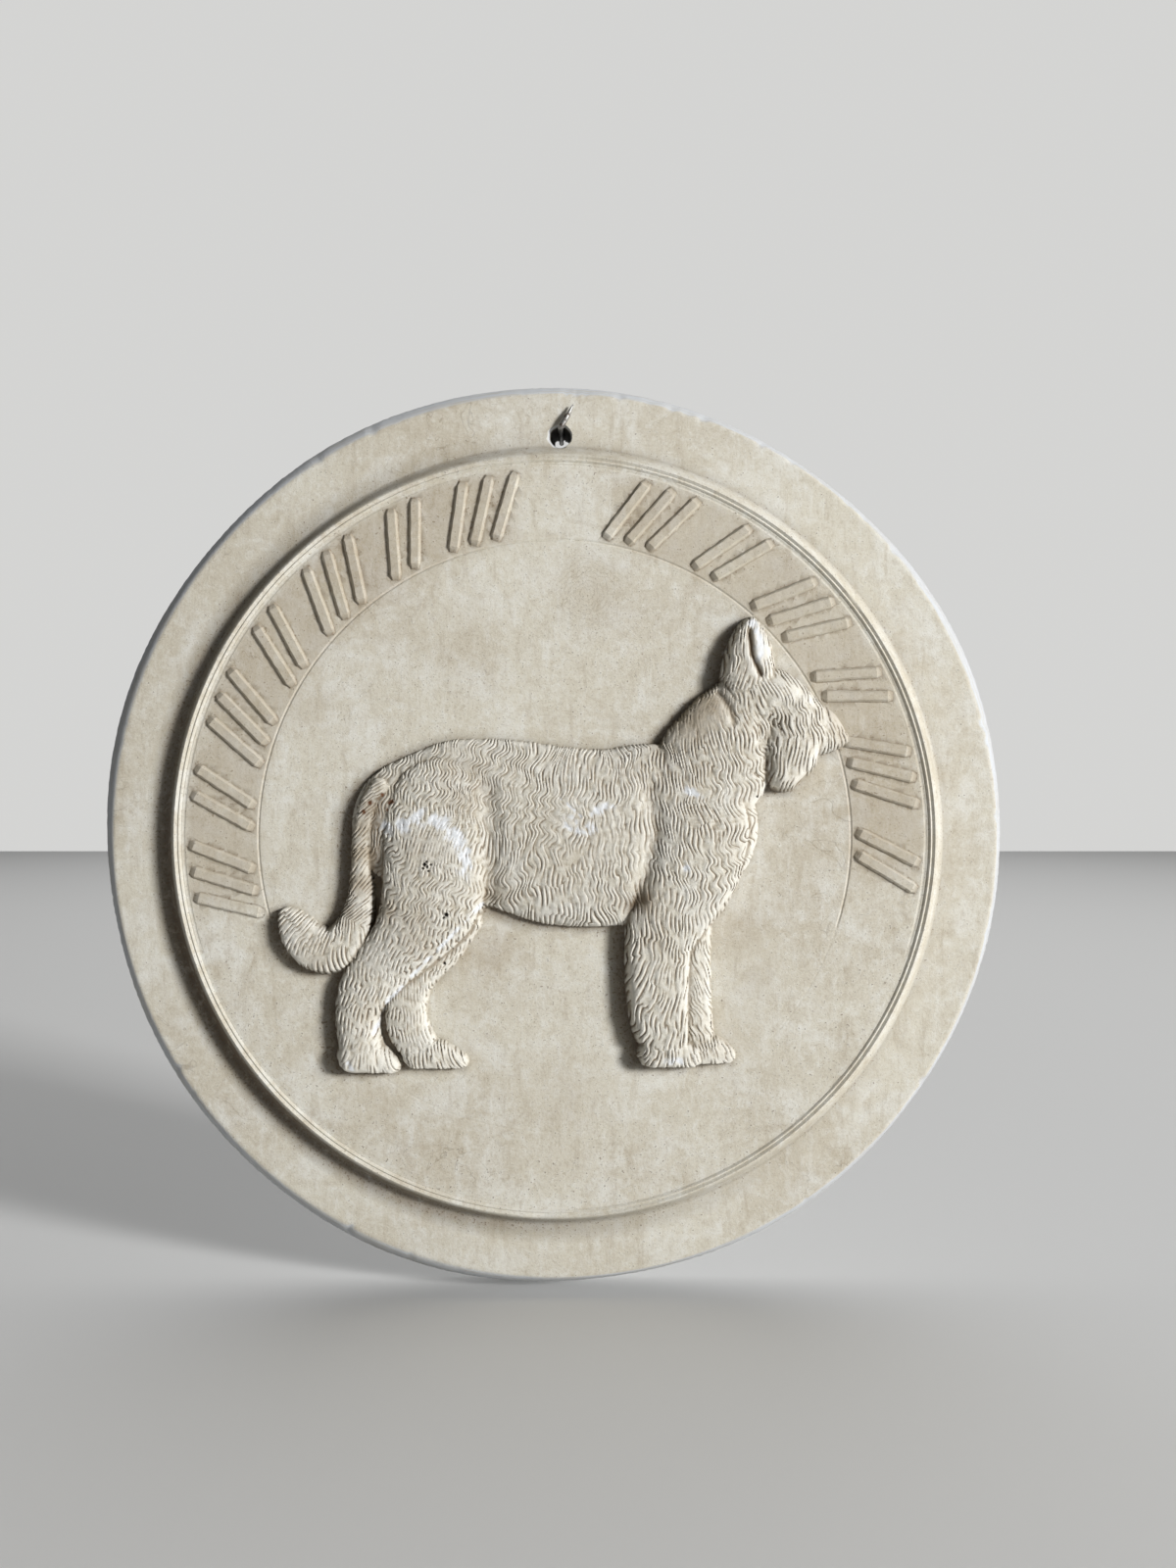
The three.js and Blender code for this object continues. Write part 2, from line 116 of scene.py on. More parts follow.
def disc_object():
    """The disc as rings of a turned profile, from the middle of the back round the edge to the field."""
    turn = 2 * np.pi * np.arange(FINE_TURN) / FINE_TURN
    trim = sum(size * np.cos(waves * turn - phase) for waves, size, phase in EDGE_WAVES)
    nick = chip_line(turn)
    rough = chance.normal(0, 0.05, FINE_TURN)
    # Each outer ring: radius, height, share of the trimming waves, and share of the chips
    outer = [
        (BACK_RADIUS - 1.2, 0.0, 1.0, 0.0),
        (BACK_RADIUS, 1.2, 1.0, 0.0),
        (BACK_RADIUS + 1.3, 6.0, 1.0, 0.0),
        (WIDEST_RADIUS, WIDEST_DEPTH, 1.0, 0.0),
        (WIDEST_RADIUS - 0.9, 14.0, 1.0, 0.1),
        (FRONT_RADIUS + 2.2, 17.0, 0.9, 0.5),
        (FRONT_RADIUS + 0.9, 18.9, 0.5, 0.9),
        (FRONT_RADIUS + 0.3, 19.6, 0.2, 1.0),
        (FRONT_RADIUS - 0.5, RIM_THICKNESS, 0.0, 0.9),
        (FRONT_RADIUS - 1.3, RIM_THICKNESS, 0.0, 0.35),
        (FRONT_RADIUS - 2.2, RIM_THICKNESS, 0.0, 0.0),
    ]
    lip = [(float(np.deg2rad(angle)), float(np.deg2rad(wide)), deep) for angle, wide, deep in LIP_CHIPS]
    coarse = turn[::2]
    lip_nick = sum(deep * np.exp(-((coarse - angle + np.pi) % (2 * np.pi) - np.pi) ** 2 / wide ** 2)
                   for angle, wide, deep in lip)
    # Each inner ring: radius, height and share of the lip's chips
    inner = [(radius, RIM_THICKNESS, 0.0) for radius in (141.0, 136.0, 132.0, 129.8)]
    inner += [
        (STEP_FOOT_RADIUS, RIM_THICKNESS + 0.15, 0.0),
        (STEP_FOOT_RADIUS - 0.9, 21.2, 0.0),
        (LIP_RADIUS + 1.7, 23.6, 0.0),
        (LIP_RADIUS + 0.8, 25.1, 0.3),
        (LIP_RADIUS + 0.35, 25.7, 0.8),
        (LIP_RADIUS - 0.1, LIP_HEIGHT, 1.0),
        (LIP_RADIUS - 0.6, 25.55, 0.8),
        (LIP_RADIUS - 1.0, 25.3, 0.3),
        (LIP_RADIUS - 1.45, 25.6, 0.0),
        (LIP_RADIUS - 1.9, 25.35, 0.0),
        (FIELD_RADIUS, FIELD_HEIGHT, 0.0),
    ]
    scored = GUIDE_DEPTH * (1 - 0.85 * (np.sin(coarse) < -0.3))
    for guide in GUIDE_RADII:
        for offset, depth in ((GUIDE_HALF_WIDTH, 0.0), (0.0, scored), (-GUIDE_HALF_WIDTH, 0.0)):
            inner.append((guide + offset, field_height(guide + offset) - depth, 0.0))
        if guide == GUIDE_RADII[0]:
            inner += [(radius, field_height(radius), 0.0) for radius in STROKE_BAND_RINGS]
    whole = [(radius, field_height(radius), 0.0) for radius in np.arange(94.5, 58.0, -2.5)]
    half = [(radius, field_height(radius), 0.0) for radius in np.arange(57.0, 28.0, -2.5)]
    quarter = [(radius, field_height(radius), 0.0) for radius in np.arange(27.0, 4.0, -2.5)]

    rings = [placed(0.0, np.array([0.0]), 0.0)]
    for radius, height, wave_share, chip_share in outer:
        edge = radius + wave_share * (trim + rough) - 0.7 * CHIP_DEPTH * chip_share * nick
        level = height - (0.55 * CHIP_DEPTH * chip_share * nick if height > WIDEST_DEPTH else 0 * nick)
        rings.append(placed(edge * np.cos(turn), level, edge * np.sin(turn)))
    for group, stride in ((inner + whole, 1), (half, 2), (quarter, 4)):
        angle = coarse[::stride]
        for radius, height, nick_share in group:
            level = height - nick_share * lip_nick[::stride]
            rings.append(placed(radius * np.cos(angle), level, radius * np.sin(angle)))
    rings.append(placed(0.0, np.array([field_height(0.0)]), 0.0))

    starts = np.cumsum([0] + [len(ring) for ring in rings])
    quads = []
    triangles = []
    for here, after, first, second in zip(rings[:-1], rings[1:], starts[:-1], starts[1:]):
        if len(here) == len(after):
            quads.append(band_faces(first, second, len(here)))
        elif len(here) == 1 or len(after) == 1:
            count = max(len(here), len(after))
            point = np.arange(count)
            other = (point + 1) % count
            hub = np.full(count, first if len(here) == 1 else second)
            if len(here) == 1:
                fan = [hub, second + other, second + point]
            else:
                fan = [first + point, first + other, hub]
            triangles.append(np.stack(fan, axis=1))
        else:
            point = np.arange(len(after))
            other = (point + 1) % len(after)
            left, middle = first + 2 * point, first + 2 * point + 1
            right = first + (2 * point + 2) % len(here)
            triangles += [np.stack([left, middle, second + point], axis=1),
                          np.stack([middle, second + other, second + point], axis=1),
                          np.stack([middle, right, second + other], axis=1)]
    points = np.concatenate(rings)
    return new_object("plaque_casting", points, np.concatenate(quads), np.concatenate(triangles))


plaque = disc_object()

# The dog: a shaggy terrier in low relief, standing in profile, carved into the model that the plaster was
# cast from. Its forms are low domes on steep walls, and every one is combed over with wavy strands of coat.
GRID_STEP = 0.3
LEFT, RIGHT, LOW, HIGH = -96.0, 102.0, -82.0, 76.0
SUNK_DEPTH = 4.0
DOG_TRIANGLES = 144000
EDGE_FALL = 3.0
DOME_POWER = 0.85
SPINE_SAMPLES = 90
STRAND_SPACING = 1.18
STRAND_LENGTHS = (7.0, 15.0)
STRAND_COUNT = 512
SWELL_SHARE = 0.16
STRAND_WANDER = 0.45
LOCK_STRANDS = 3.4
LOCK_DEPTH = 0.22
SWAY_LENGTH = 8.8
WINDOW_MARGIN = 6.0
# How far the painted shade at the forms' foot reaches onto the field, in mm
FOOT_SHADE_REACH = 2.9
LINED_DEPTH = 0.24
MELT = 0.4
# The painted cast shadow beside the forms: the light's turn over the grid, its length in grid steps, how high
# a form must rise to cast it, and its strength
PAINTED_SHADOW_TURN = math.radians(16)
PAINTED_SHADOW_STEPS = 26
PAINTED_SHADOW_HEIGHT = 1.5
PAINTED_SHADOW_STRENGTH = 0.88

# How the coat lies over the trunk, neck, thigh and shoulder, which are combed as one: places (x, z) with the
# strands' angle there, in degrees from level
BODY_COAT = [
    (-50, 18, 55), (-36, 27, 60), (-20, 24, 70), (-4, 26, 72), (12, 24, 80), (27, 22, 90),
    (-14, 4, 80), (4, 4, 84), (24, 4, 92), (-12, -14, 102), (-6, -22, 116), (8, -22, 108), (22, -16, 96),
    (38, 36, 62), (47, 43, 60), (40, 27, 84), (50, 20, 102), (54, 36, 112), (58, 26, 138), (65, 18, 146),
    (62, 33, 132), (-50, 10, 54), (-38, 14, 62), (-26, 10, 76), (-52, -8, 50), (-40, -8, 60), (-25, -8, 82),
    (-53, -22, 48), (-42, -24, 62), (-28, -20, 82), (-54, -36, 54), (-44, -36, 60), (-66, -51, 54),
    (-56, -50, 82), (-69, -60, 56), (-58, -60, 112), (-64, -62, 84), (40, 14, 88), (52, 14, 102),
    (62, 6, 122), (36, 0, 88), (47, -2, 98), (60, -8, 118), (36, -14, 82), (46, -16, 100), (29, -26, 66),
    (40, -28, 94), (28, -36, 52), (36, -38, 82), (42, -40, 104), (28, -44, 48), (28, -53, 44),
    (36, -52, 78), (42, -52, 110), (29, -63, 42), (36, -63, 80), (42, -63, 114),
]
# How the coat lies over the head, from the ear over the brow and down into the beard
HEAD_COAT = [
    (56, 50, 75), (55, 46, 92), (57, 42, 112), (62, 48, 82), (61, 44, 97), (63, 40, 112), (66, 36, 112),
    (70, 52, 112), (75, 51, 120), (80, 48, 128), (85, 44, 130), (90, 39, 128), (95, 33, 126),
    (68, 46, 102), (74, 45, 114), (80, 42, 116), (86, 37, 110), (69, 40, 100), (73, 39, 92), (78, 36, 82),
    (84, 33, 80), (90, 31, 96), (72, 30, 73), (77, 28, 68), (82, 29, 66), (76, 22, 62), (73, 18, 58),
    (88, 28, 78),
]
# Each form: its spine of stations (x, z, half width, height above the field), the lengths of its round ends
# in half widths, the wall's share of the height, how far its strands sway in degrees, between which heights
# that sway dies down, how deep the strands are in mm, how low a paw's sole is, how round its dome is and how
# far apart its strands are where that differs from the rest, how much shorter its tufts are, and how its coat
# lies
FORMS = {
    "trunk": dict(
        spine=[(-46, 4, 21, 5.5), (-30, 5, 26.5, 6.6), (-14, 3.6, 27.4, 7.2), (2, 0, 29, 7.8),
               (18, -0.5, 28.8, 7.8), (32, 3, 27, 7.2), (43, 3, 24, 6.6)],
        ends=(0.5, 0.98), wall=0.12, sway=31, strand=0.22, coat=BODY_COAT),
    "neck": dict(
        spine=[(46, 13, 18, 7.0), (52.4, 23.6, 18.2, 7.8), (57, 32.8, 15.4, 8.0), (61, 41.4, 11, 7.2)],
        ends=(0.3, 0.5), wall=0.25, sway=31, strand=0.24, coat=BODY_COAT),
    "far_hind_leg": dict(
        spine=[(-29, -27, 5, 3.4), (-37, -37, 6, 3.8), (-45, -46, 5.4, 4), (-48.5, -55, 6, 4.2),
               (-48, -63, 6.3, 4.4), (-44.5, -69, 5.6, 4.6)],
        ends=(0.6, 0.5), wall=0.5, sway=12, tuft=0.4, strand=0.2,
        coat=[(-36, -38, 60), (-46, -50, 92), (-53, -58, 62), (-44, -56, 124), (-43, -64, 128),
              (-51, -66, 70)]),
    "far_hind_paw": dict(
        spine=[(-45, -71.4, 4.6, 4.6), (-38, -71.8, 4.2, 4.6), (-31.5, -73.6, 2.4, 3.6)],
        ends=(0.9, 1.1), wall=0.5, sway=6, strand=0.27, sole=-76.0,
        coat=[(-47, -72, 70), (-38, -72, 105), (-31, -73, 128)]),
    "far_foreleg": dict(
        spine=[(45, -26, 6, 4.8), (45.4, -40, 4.9, 4.8), (45.8, -54, 4.8, 4.8), (46.6, -65, 4.8, 5)],
        ends=(0.6, 0.6), wall=0.55, sway=12, strand=0.22,
        coat=[(46, -34, 108), (48, -50, 120), (49, -63, 112)]),
    "far_forepaw": dict(
        spine=[(47, -70.4, 4.2, 5.2), (52, -70.4, 4, 5), (56.4, -71.8, 2.4, 3.8)],
        ends=(0.8, 1.0), wall=0.5, sway=6, strand=0.27, sole=-74.2,
        coat=[(48, -70, 95), (57, -71, 130)]),
    "hind_leg": dict(
        spine=[(-37.8, 10, 15.8, 7.6), (-38.2, 0, 17.2, 8.8), (-38.5, -11, 17.1, 9), (-40.7, -22, 15.4, 8.8),
               (-46.9, -32, 11.7, 8.2), (-54.2, -40.5, 9.6, 7.4), (-61, -48.6, 8.4, 6.8),
               (-64.2, -56.5, 6.7, 6.4), (-64.2, -64.5, 6.3, 6.4), (-63, -70.5, 6.6, 6.8)],
        ends=(0.55, 0.5), wall=0.46, sway=27, still=(-16, -36), tuft=0.45, strand=0.22, coat=BODY_COAT),
    "hind_paw": dict(
        spine=[(-65.6, -72.2, 4.7, 7.0), (-60, -72.4, 4.6, 7.0), (-53.6, -74.6, 2.6, 5.4)],
        ends=(0.9, 1.0), wall=0.55, sway=6, strand=0.3, sole=-77.4,
        coat=[(-68, -73, 62), (-61, -73, 90), (-54, -74, 122)]),
    "tail": dict(
        spine=[(-56.5, 17, 2.8, 5), (-61, 9, 2.8, 5), (-63, 0, 2.5, 4.8), (-63.4, -11, 2.6, 4.8),
               (-63.6, -21, 3.5, 5), (-66.2, -31, 5.2, 5.4), (-72.2, -37.2, 6.4, 5.8),
               (-78.8, -36.4, 6.4, 5.8),
               (-83.6, -32, 5.4, 5.4), (-86.6, -27.6, 3.2, 4.6), (-88.4, -24.8, 1, 3.4)],
        ends=(0.6, 0.5), wall=0.66, sway=4, pitch=1.1, strand=0.34,
        coat=[(-58, 13, 20), (-62, 0, 60), (-63, -14, 62), (-63, -24, 30), (-66, -32, 128), (-70, -37, 104),
              (-76, -38, 88), (-83, -36, 52), (-88, -29, 20)]),
    "foreleg": dict(
        spine=[(46.5, 15, 13, 7.2), (47.5, 2, 15.6, 8.6), (44.5, -11, 14.6, 8.8), (39, -23, 12.4, 8.4),
               (35.4, -34, 9.4, 7.8), (34.2, -47, 8.8, 7.6), (34.6, -58, 8.6, 7.6), (36.6, -67, 7, 7.4)],
        ends=(0.5, 0.4), wall=0.6, sway=31, still=(-18, -32), strand=0.27, coat=BODY_COAT),
    "foreleg_feather": dict(
        spine=[(28.4, -26, 3.4, 7.0), (28.2, -36, 3.6, 7.0), (28.4, -48, 3.6, 7.0), (29.2, -58, 3.4, 7.0),
               (30.4, -65, 2.8, 6.8)],
        ends=(1.0, 0.8), wall=0.72, sway=9, strand=0.34, coat=BODY_COAT),
    "foreleg_front": dict(
        spine=[(41.6, -34, 2.6, 6.9), (40.8, -46, 2.8, 7.0), (40.6, -56, 2.8, 7.0), (41, -64, 2.6, 6.9)],
        ends=(1.2, 0.8), wall=0.62, sway=9, strand=0.27, coat=BODY_COAT),
    "forepaw": dict(
        spine=[(32.6, -71, 4.3, 7.2), (38.5, -70.6, 4.6, 7.4), (44.6, -71.6, 3.6, 6.4)],
        ends=(1.0, 0.9), wall=0.55, sway=6, strand=0.3, sole=-75.2,
        coat=[(29, -71, 55), (38, -71, 90), (47, -71, 122)]),
    "head": dict(
        spine=[(62.5, 45.6, 9.4, 7.8), (71, 45, 9.8, 8.2), (78.4, 40.8, 8.3, 7.0), (83.4, 37.6, 6.5, 5.0)],
        ends=(0.8, 0.8), wall=0.1, dome=1.1, sway=18, strand=0.26, coat=HEAD_COAT),
    "muzzle": dict(
        spine=[(79, 38, 9.2, 7.4), (86, 34.6, 8, 6.0), (91.2, 32.8, 4.4, 3.6), (94.6, 32, 2, 2.0)],
        ends=(0.6, 0.7), wall=0.04, dome=1.3, sway=18, strand=0.24, coat=HEAD_COAT),
    "brow": dict(
        spine=[(66, 48.4, 5, 8.4), (73.6, 47, 5.7, 8.6), (80.8, 43.8, 3.7, 7.2), (86.4, 39.8, 2.6, 4.6)],
        ends=(0.8, 0.9), wall=0.3, dome=1.2, sway=18, strand=0.26, coat=HEAD_COAT),
    "beard": dict(
        spine=[(79.2, 35, 8.6, 7.4), (77.0, 28, 8.9, 7.8), (74.6, 21.4, 6, 7.2)],
        ends=(0.5, 0.85), wall=0.4, sway=16, strand=0.28, coat=HEAD_COAT),
    "ear": dict(
        spine=[(63.4, 52, 7.8, 8.4), (63.8, 60, 6.2, 7.8), (64.1, 66, 3.9, 6.4), (64.5, 70.4, 1.1, 4.6)],
        ends=(0.3, 0.4), wall=0.6, sway=4, strand=0.26,
        coat=[(58, 56, 62), (60, 62, 66), (62, 66, 76), (68, 60, 112), (70, 56, 118)]),
}
# Carved creases: their points (x, z), depth and half width in mm
CREASES = (
    ([(-22, 16), (-20.5, 6), (-20.5, -8), (-21.5, -20)], 1.2, 3.4),
    ([(31, 15), (33, 2), (31, -10), (26, -24)], 1.2, 2.8),
    ([(66.6, 35), (68.6, 28), (69.8, 22), (70.4, 16)], 0.9, 2.0),
    ([(53.4, 46.4), (56.8, 41.5), (58.4, 37.5)], 0.9, 1.3),
    ([(63.4, 67), (64.0, 59), (66.8, 52.6)], 1.6, 0.9),
)
# Places where the coat is worn or was left nearly smooth: x, z, radius, and the share of strand depth kept
CALM_PLACES = ((51, 42, 6.5, 0.12), (44, 39, 8, 0.12), (39, 35, 6, 0.2), (66, 65, 2.4, 0.05),
               (65.8, 60.5, 2.4, 0.05), (-30, 28, 6, 0.5))
# Brown places: stains where the seal sank in or dirt stayed, and painted shade on the nape, in the armpit and
# on the upper tail in the thigh's shadow: x, z, radius and strength
BROWN_AND_SHADE_PLACES = ((43, 39, 8, 1.0), (50, 43, 6, 0.9), (28, -20, 6, 0.8), (-57, 14, 5, 0.6), (-62, -12, 6, 0.5),
                (-20, -18, 5, 0.5), (36, 29, 5, 0.4), (-60, -56, 5, 0.4), (-62, 2, 5, 0.9), (-60, 9, 4, 0.9),
                (-66, -26, 5, 0.6), (-54, -24, 5, 0.6), (-56, 2, 4, 0.6),
                (-76, -39, 6, 0.45), (-30, 17, 9, 0.4), (-44, -3, 8, 0.3), (-46, -29, 9, 0.4),
                (33, -34, 5, 0.35), (-63, -6, 5, 1.0), (-63.6, -15, 5, 0.9))
# Rubbed places, bare to the white plaster on the strands' tops, and one painted highlight along the lit front
# edge of the near hind leg: points along each (x, z), and its half width
WORN_AND_HIGHLIT_TRACKS = (
    ([(64.7, 69), (66.1, 63.3), (67.2, 56)], 1.9),
    ([(43.2, 15.2), (47.4, 13)], 1.5),
    ([(1.7, 12.8), (8.6, 6.6)], 0.6),
    ([(4.6, 4.6), (8, 2.4), (11.6, 2.6)], 2.6),
    ([(12, 8), (20, 11)], 2.0),
    ([(-53, 2.4), (-43.3, 6.1), (-36, 4.4)], 3.4),
    ([(-36, 4.4), (-30, -3.3), (-28.9, -11)], 3.0),
    # A painted highlight on the lit front edge of the near hind leg, partly rubbed
    ([(-23.5, -22), (-41, -40), (-54.5, -53.6), (-58.6, -64)], 0.7),
    ([(42.4, -9.4), (43.4, -11.6)], 1.5),
    ([(36.5, -73), (41.5, -73)], 1.6),
    ([(-67, -72.5), (-65.6, -75.5)], 1.2),
)
# Deep channels darkened with dirt and painted shade: their points (x, z) and half width
DIRT_AND_SHADE_TRACKS = (
    ([(-57, 12), (-58.2, 2), (-58.6, -10), (-58.4, -22), (-59.4, -30)], 2.0),
    ([(69.4, 24), (70.4, 17)], 0.8),
    ([(63.4, 66), (64.0, 59), (66.6, 53)], 0.7),
    ([(25, -22), (30, -20)], 2.2),
)
# Casting bubbles, open and black: x, z and radius
PITS = ((-41.8, -9, 0.55), (-40.8, -9.8, 0.7), (-42.4, -10.2, 0.45), (-39.9, -9.1, 0.45), (-40.6, -11, 0.5),
        (-41.2, -8, 0.4), (-35, -25, 0.75), (-34, -24, 0.5), (-35.8, -26.2, 0.55), (-36, -41.5, 0.5),
        (66, 13, 0.4))
RUST_FLECKS = ((-53, 11, 1.2), (-54, 8.5, 0.9), (-62, 8, 0.7), (-60, 11, 0.8), (-56, 13.5, 0.8))

across = np.arange(LEFT, RIGHT, GRID_STEP)
upward = np.arange(LOW, HIGH, GRID_STEP)
X, Z = np.meshgrid(across, upward)
FREQ_X = np.fft.rfftfreq(len(across), GRID_STEP)[None, :]
FREQ_Z = np.fft.fftfreq(len(upward), GRID_STEP)[:, None]


def blurred(values, size):
    """Gaussian blur of a grid by its spectrum, with the size in mm."""
    soft = np.exp(-2 * (np.pi * size) ** 2 * (FREQ_X ** 2 + FREQ_Z ** 2))
    return np.fft.irfft2(np.fft.rfft2(values) * soft, s=values.shape)


def drift(size):
    """Smooth chance over the grid: blurred noise, scaled to a spread of one."""
    noise = blurred(chance.standard_normal(X.shape), size)
    return noise / noise.std()


def smooth_through(points, place):
    """Catmull-Rom curve through the points, at places counted in points from the first."""
    low = np.clip(place.astype(int), 0, len(points) - 2)
    f = (place - low)[:, None]
    ends = np.vstack([2 * points[0] - points[1], points, 2 * points[-1] - points[-2]])
    a, b, c, d = ends[low], ends[low + 1], ends[low + 2], ends[low + 3]
    return 0.5 * (2 * b + (c - a) * f + (2 * a - 5 * b + 4 * c - d) * f ** 2
                  + (3 * b - a - 3 * c + d) * f ** 3)


def along_spine(stations):
    """Samples of a spine: a smooth curve through the places, straight between the widths and heights."""
    points = np.array(stations, float)
    place = np.linspace(0, len(points) - 1, SPINE_SAMPLES)
    samples = smooth_through(points, place)
    for column in (2, 3):
        samples[:, column] = np.interp(place, np.arange(len(points)), points[:, column])
    return samples


def form_rise(form, ragged):
    """Height of a form over the field: a wall, then a dome over the distance from the spine in half widths.

    Outside its edge the surface falls away steeply, so that forms can be joined by taking the highest.
    """
    samples = along_spine(form["spine"])
    forward = np.gradient(samples[:, :2], axis=0)
    forward /= np.linalg.norm(forward, axis=1, keepdims=True)
    reach = 1.3 * samples[:, 2].max() + 4
    near = ((X > samples[:, 0].min() - reach) & (X < samples[:, 0].max() + reach)
            & (Z > samples[:, 1].min() - reach) & (Z < samples[:, 1].max() + reach))
    x, z = X[near], Z[near]
    nearest = np.full(x.shape, 9.0)
    high = np.zeros(x.shape)
    wide = np.ones(x.shape)
    for sample, ((cx, cz, width, height), (fx, fz)) in enumerate(zip(samples, forward)):
        ahead = (x - cx) * fx + (z - cz) * fz
        aside = (z - cz) * fx - (x - cx) * fz
        if sample == 0:
            ahead = np.where(ahead < 0, ahead / form["ends"][0], ahead)
        if sample == SPINE_SAMPLES - 1:
            ahead = np.where(ahead > 0, ahead / form["ends"][1], ahead)
        ratio = np.hypot(ahead, aside) / width
        closer = ratio < nearest
        nearest = np.where(closer, ratio, nearest)
        high = np.where(closer, height, high)
        wide = np.where(closer, width, wide)
    ratio = nearest - 0.3 * ragged[near] / wide
    dome = np.sqrt(np.clip(1 - ratio ** 2, 0, 1)) ** form.get("dome", DOME_POWER)
    rise = high * (form["wall"] + (1 - form["wall"]) * dome)
    rise -= np.clip(ratio - 1, 0, None) * wide * EDGE_FALL
    if "sole" in form:
        rise -= np.clip(form["sole"] - z, 0, None) * EDGE_FALL
    over_grid = np.full(X.shape, -9.0)
    over_grid[near] = rise
    return over_grid


def coat_angle(guides, x, z):
    """How the coat lies: the guides' angles, doubled so that they have no ends, mixed by nearness."""
    guides = np.array(guides, float)
    double = np.exp(2j * np.deg2rad(guides[:, 2]))
    mean = double.mean() / abs(double.mean())
    weight = ((x[..., None] - guides[:, 0]) ** 2 + (z[..., None] - guides[:, 1]) ** 2 + 9.0) ** -1.5
    return 0.5 * (np.angle(mean) + np.angle((weight * double / mean).sum(-1)))


def potential(slope_x, slope_z):
    """The surface whose slopes are nearest to those given: Poisson's equation on the mirrored spectrum."""
    slope_x = np.block([[slope_x, -slope_x[:, ::-1]], [slope_x[::-1], -slope_x[::-1, ::-1]]])
    slope_z = np.block([[slope_z, slope_z[:, ::-1]], [-slope_z[::-1], -slope_z[::-1, ::-1]]])
    rows, columns = slope_x.shape
    turn_x = 2j * np.pi * np.fft.rfftfreq(columns, GRID_STEP)[None, :]
    turn_z = 2j * np.pi * np.fft.fftfreq(rows, GRID_STEP)[:, None]
    bend = turn_x ** 2 + turn_z ** 2
    bend[0, 0] = 1
    spectrum = (turn_x * np.fft.rfft2(slope_x) + turn_z * np.fft.rfft2(slope_z)) / bend
    return np.fft.irfft2(spectrum, s=(rows, columns))[:rows // 2, :columns // 2]


def rounded(phase):
    """A row of round ridges with narrow grooves between, 0 to 1, one for each whole step of the phase."""
    share = phase - np.floor(phase)
    return (4 * share * (1 - share)) ** 0.55


def form_window(form):
    """The rows and columns of the grid that hold a form, with a margin."""
    spine = np.array(form["spine"])
    low = spine[:, :2].min(axis=0) - spine[:, 2].max() - WINDOW_MARGIN
    high = spine[:, :2].max(axis=0) + spine[:, 2].max() + WINDOW_MARGIN
    rows = np.searchsorted(upward, (low[1], high[1]))
    columns = np.searchsorted(across, (low[0], high[0]))
    return slice(*rows), slice(*columns)


def coat_places(guides, window):
    """Where each point is across and along the coat, in mm: the potentials of the coat's two directions."""
    lie = coat_angle(guides, X[window], Z[window])
    return potential(-np.sin(lie), np.cos(lie)), potential(np.cos(lie), np.sin(lie))


def coat_strands(form, aside, ahead, z, moods):
    """A form's coat: its strands' phase, their ridges, the locks' ridges, and how far each groove is cut.

    The strands are even steps across the coat, pushed aside by waves that run along it, and they part and
    meet at seeded places. Each has its own height, which rises and sinks along its length. The grooves
    between them are short cuts with gaps, each with its own length and start.
    """
    unrest, liveliness, wander, parting, gather = moods
    reach = SWAY_LENGTH / (2 * np.pi) * np.tan(np.deg2rad(form["sway"])) * liveliness
    if "still" in form:
        reach = reach * (1 - 0.8 * smooth_step(-z, -form["still"][0], -form["still"][1]))
    sway = reach * np.sin(2 * np.pi * ahead / SWAY_LENGTH + 2.2 * unrest)
    phase = (aside + sway) / form.get("pitch", STRAND_SPACING) + STRAND_WANDER * wander
    phase = phase + 0.5 * smooth_step(parting, -0.15, 0.15)
    shorter = form.get("tuft", 1.0)
    waves = []
    for number in (np.floor(phase).astype(int) % STRAND_COUNT, np.rint(phase).astype(int) % STRAND_COUNT):
        waves.append(np.sin(2 * np.pi * (ahead / (shorter * strand_lengths[number]) + strand_starts[number])))
    swell, cut = waves
    cut = smooth_step(cut, -0.9, -0.1)
    ridges = (1 - cut * (1 - rounded(phase))) * (1 - SWELL_SHARE + SWELL_SHARE * swell)
    return phase, ridges, rounded(phase / LOCK_STRANDS + 0.7 * gather), cut


def nearness(points, width):
    """One on a line through the points and falling off as a bell over the width."""
    nearest = np.full(X.shape, np.inf)
    for (ax, az), (bx, bz) in zip(points[:-1], points[1:]):
        dx, dz = bx - ax, bz - az
        share = np.clip(((X - ax) * dx + (Z - az) * dz) / (dx * dx + dz * dz), 0, 1)
        nearest = np.minimum(nearest, (X - ax - share * dx) ** 2 + (Z - az - share * dz) ** 2)
    return np.exp(-nearest / width ** 2)


def spot(x, z, radius):
    """A round spot: one in its middle, falling off as a bell."""
    return np.exp(-((X - x) ** 2 + (Z - z) ** 2) / radius ** 2)


def smooth_step(values, low, high):
    """Zero below low, one above high, and a smooth rise between."""
    share = np.clip((values - low) / (high - low), 0, 1)
    return share * share * (3 - 2 * share)


def most(fields):
    """The highest of several grids, point by point."""
    return np.stack(list(fields)).max(axis=0)


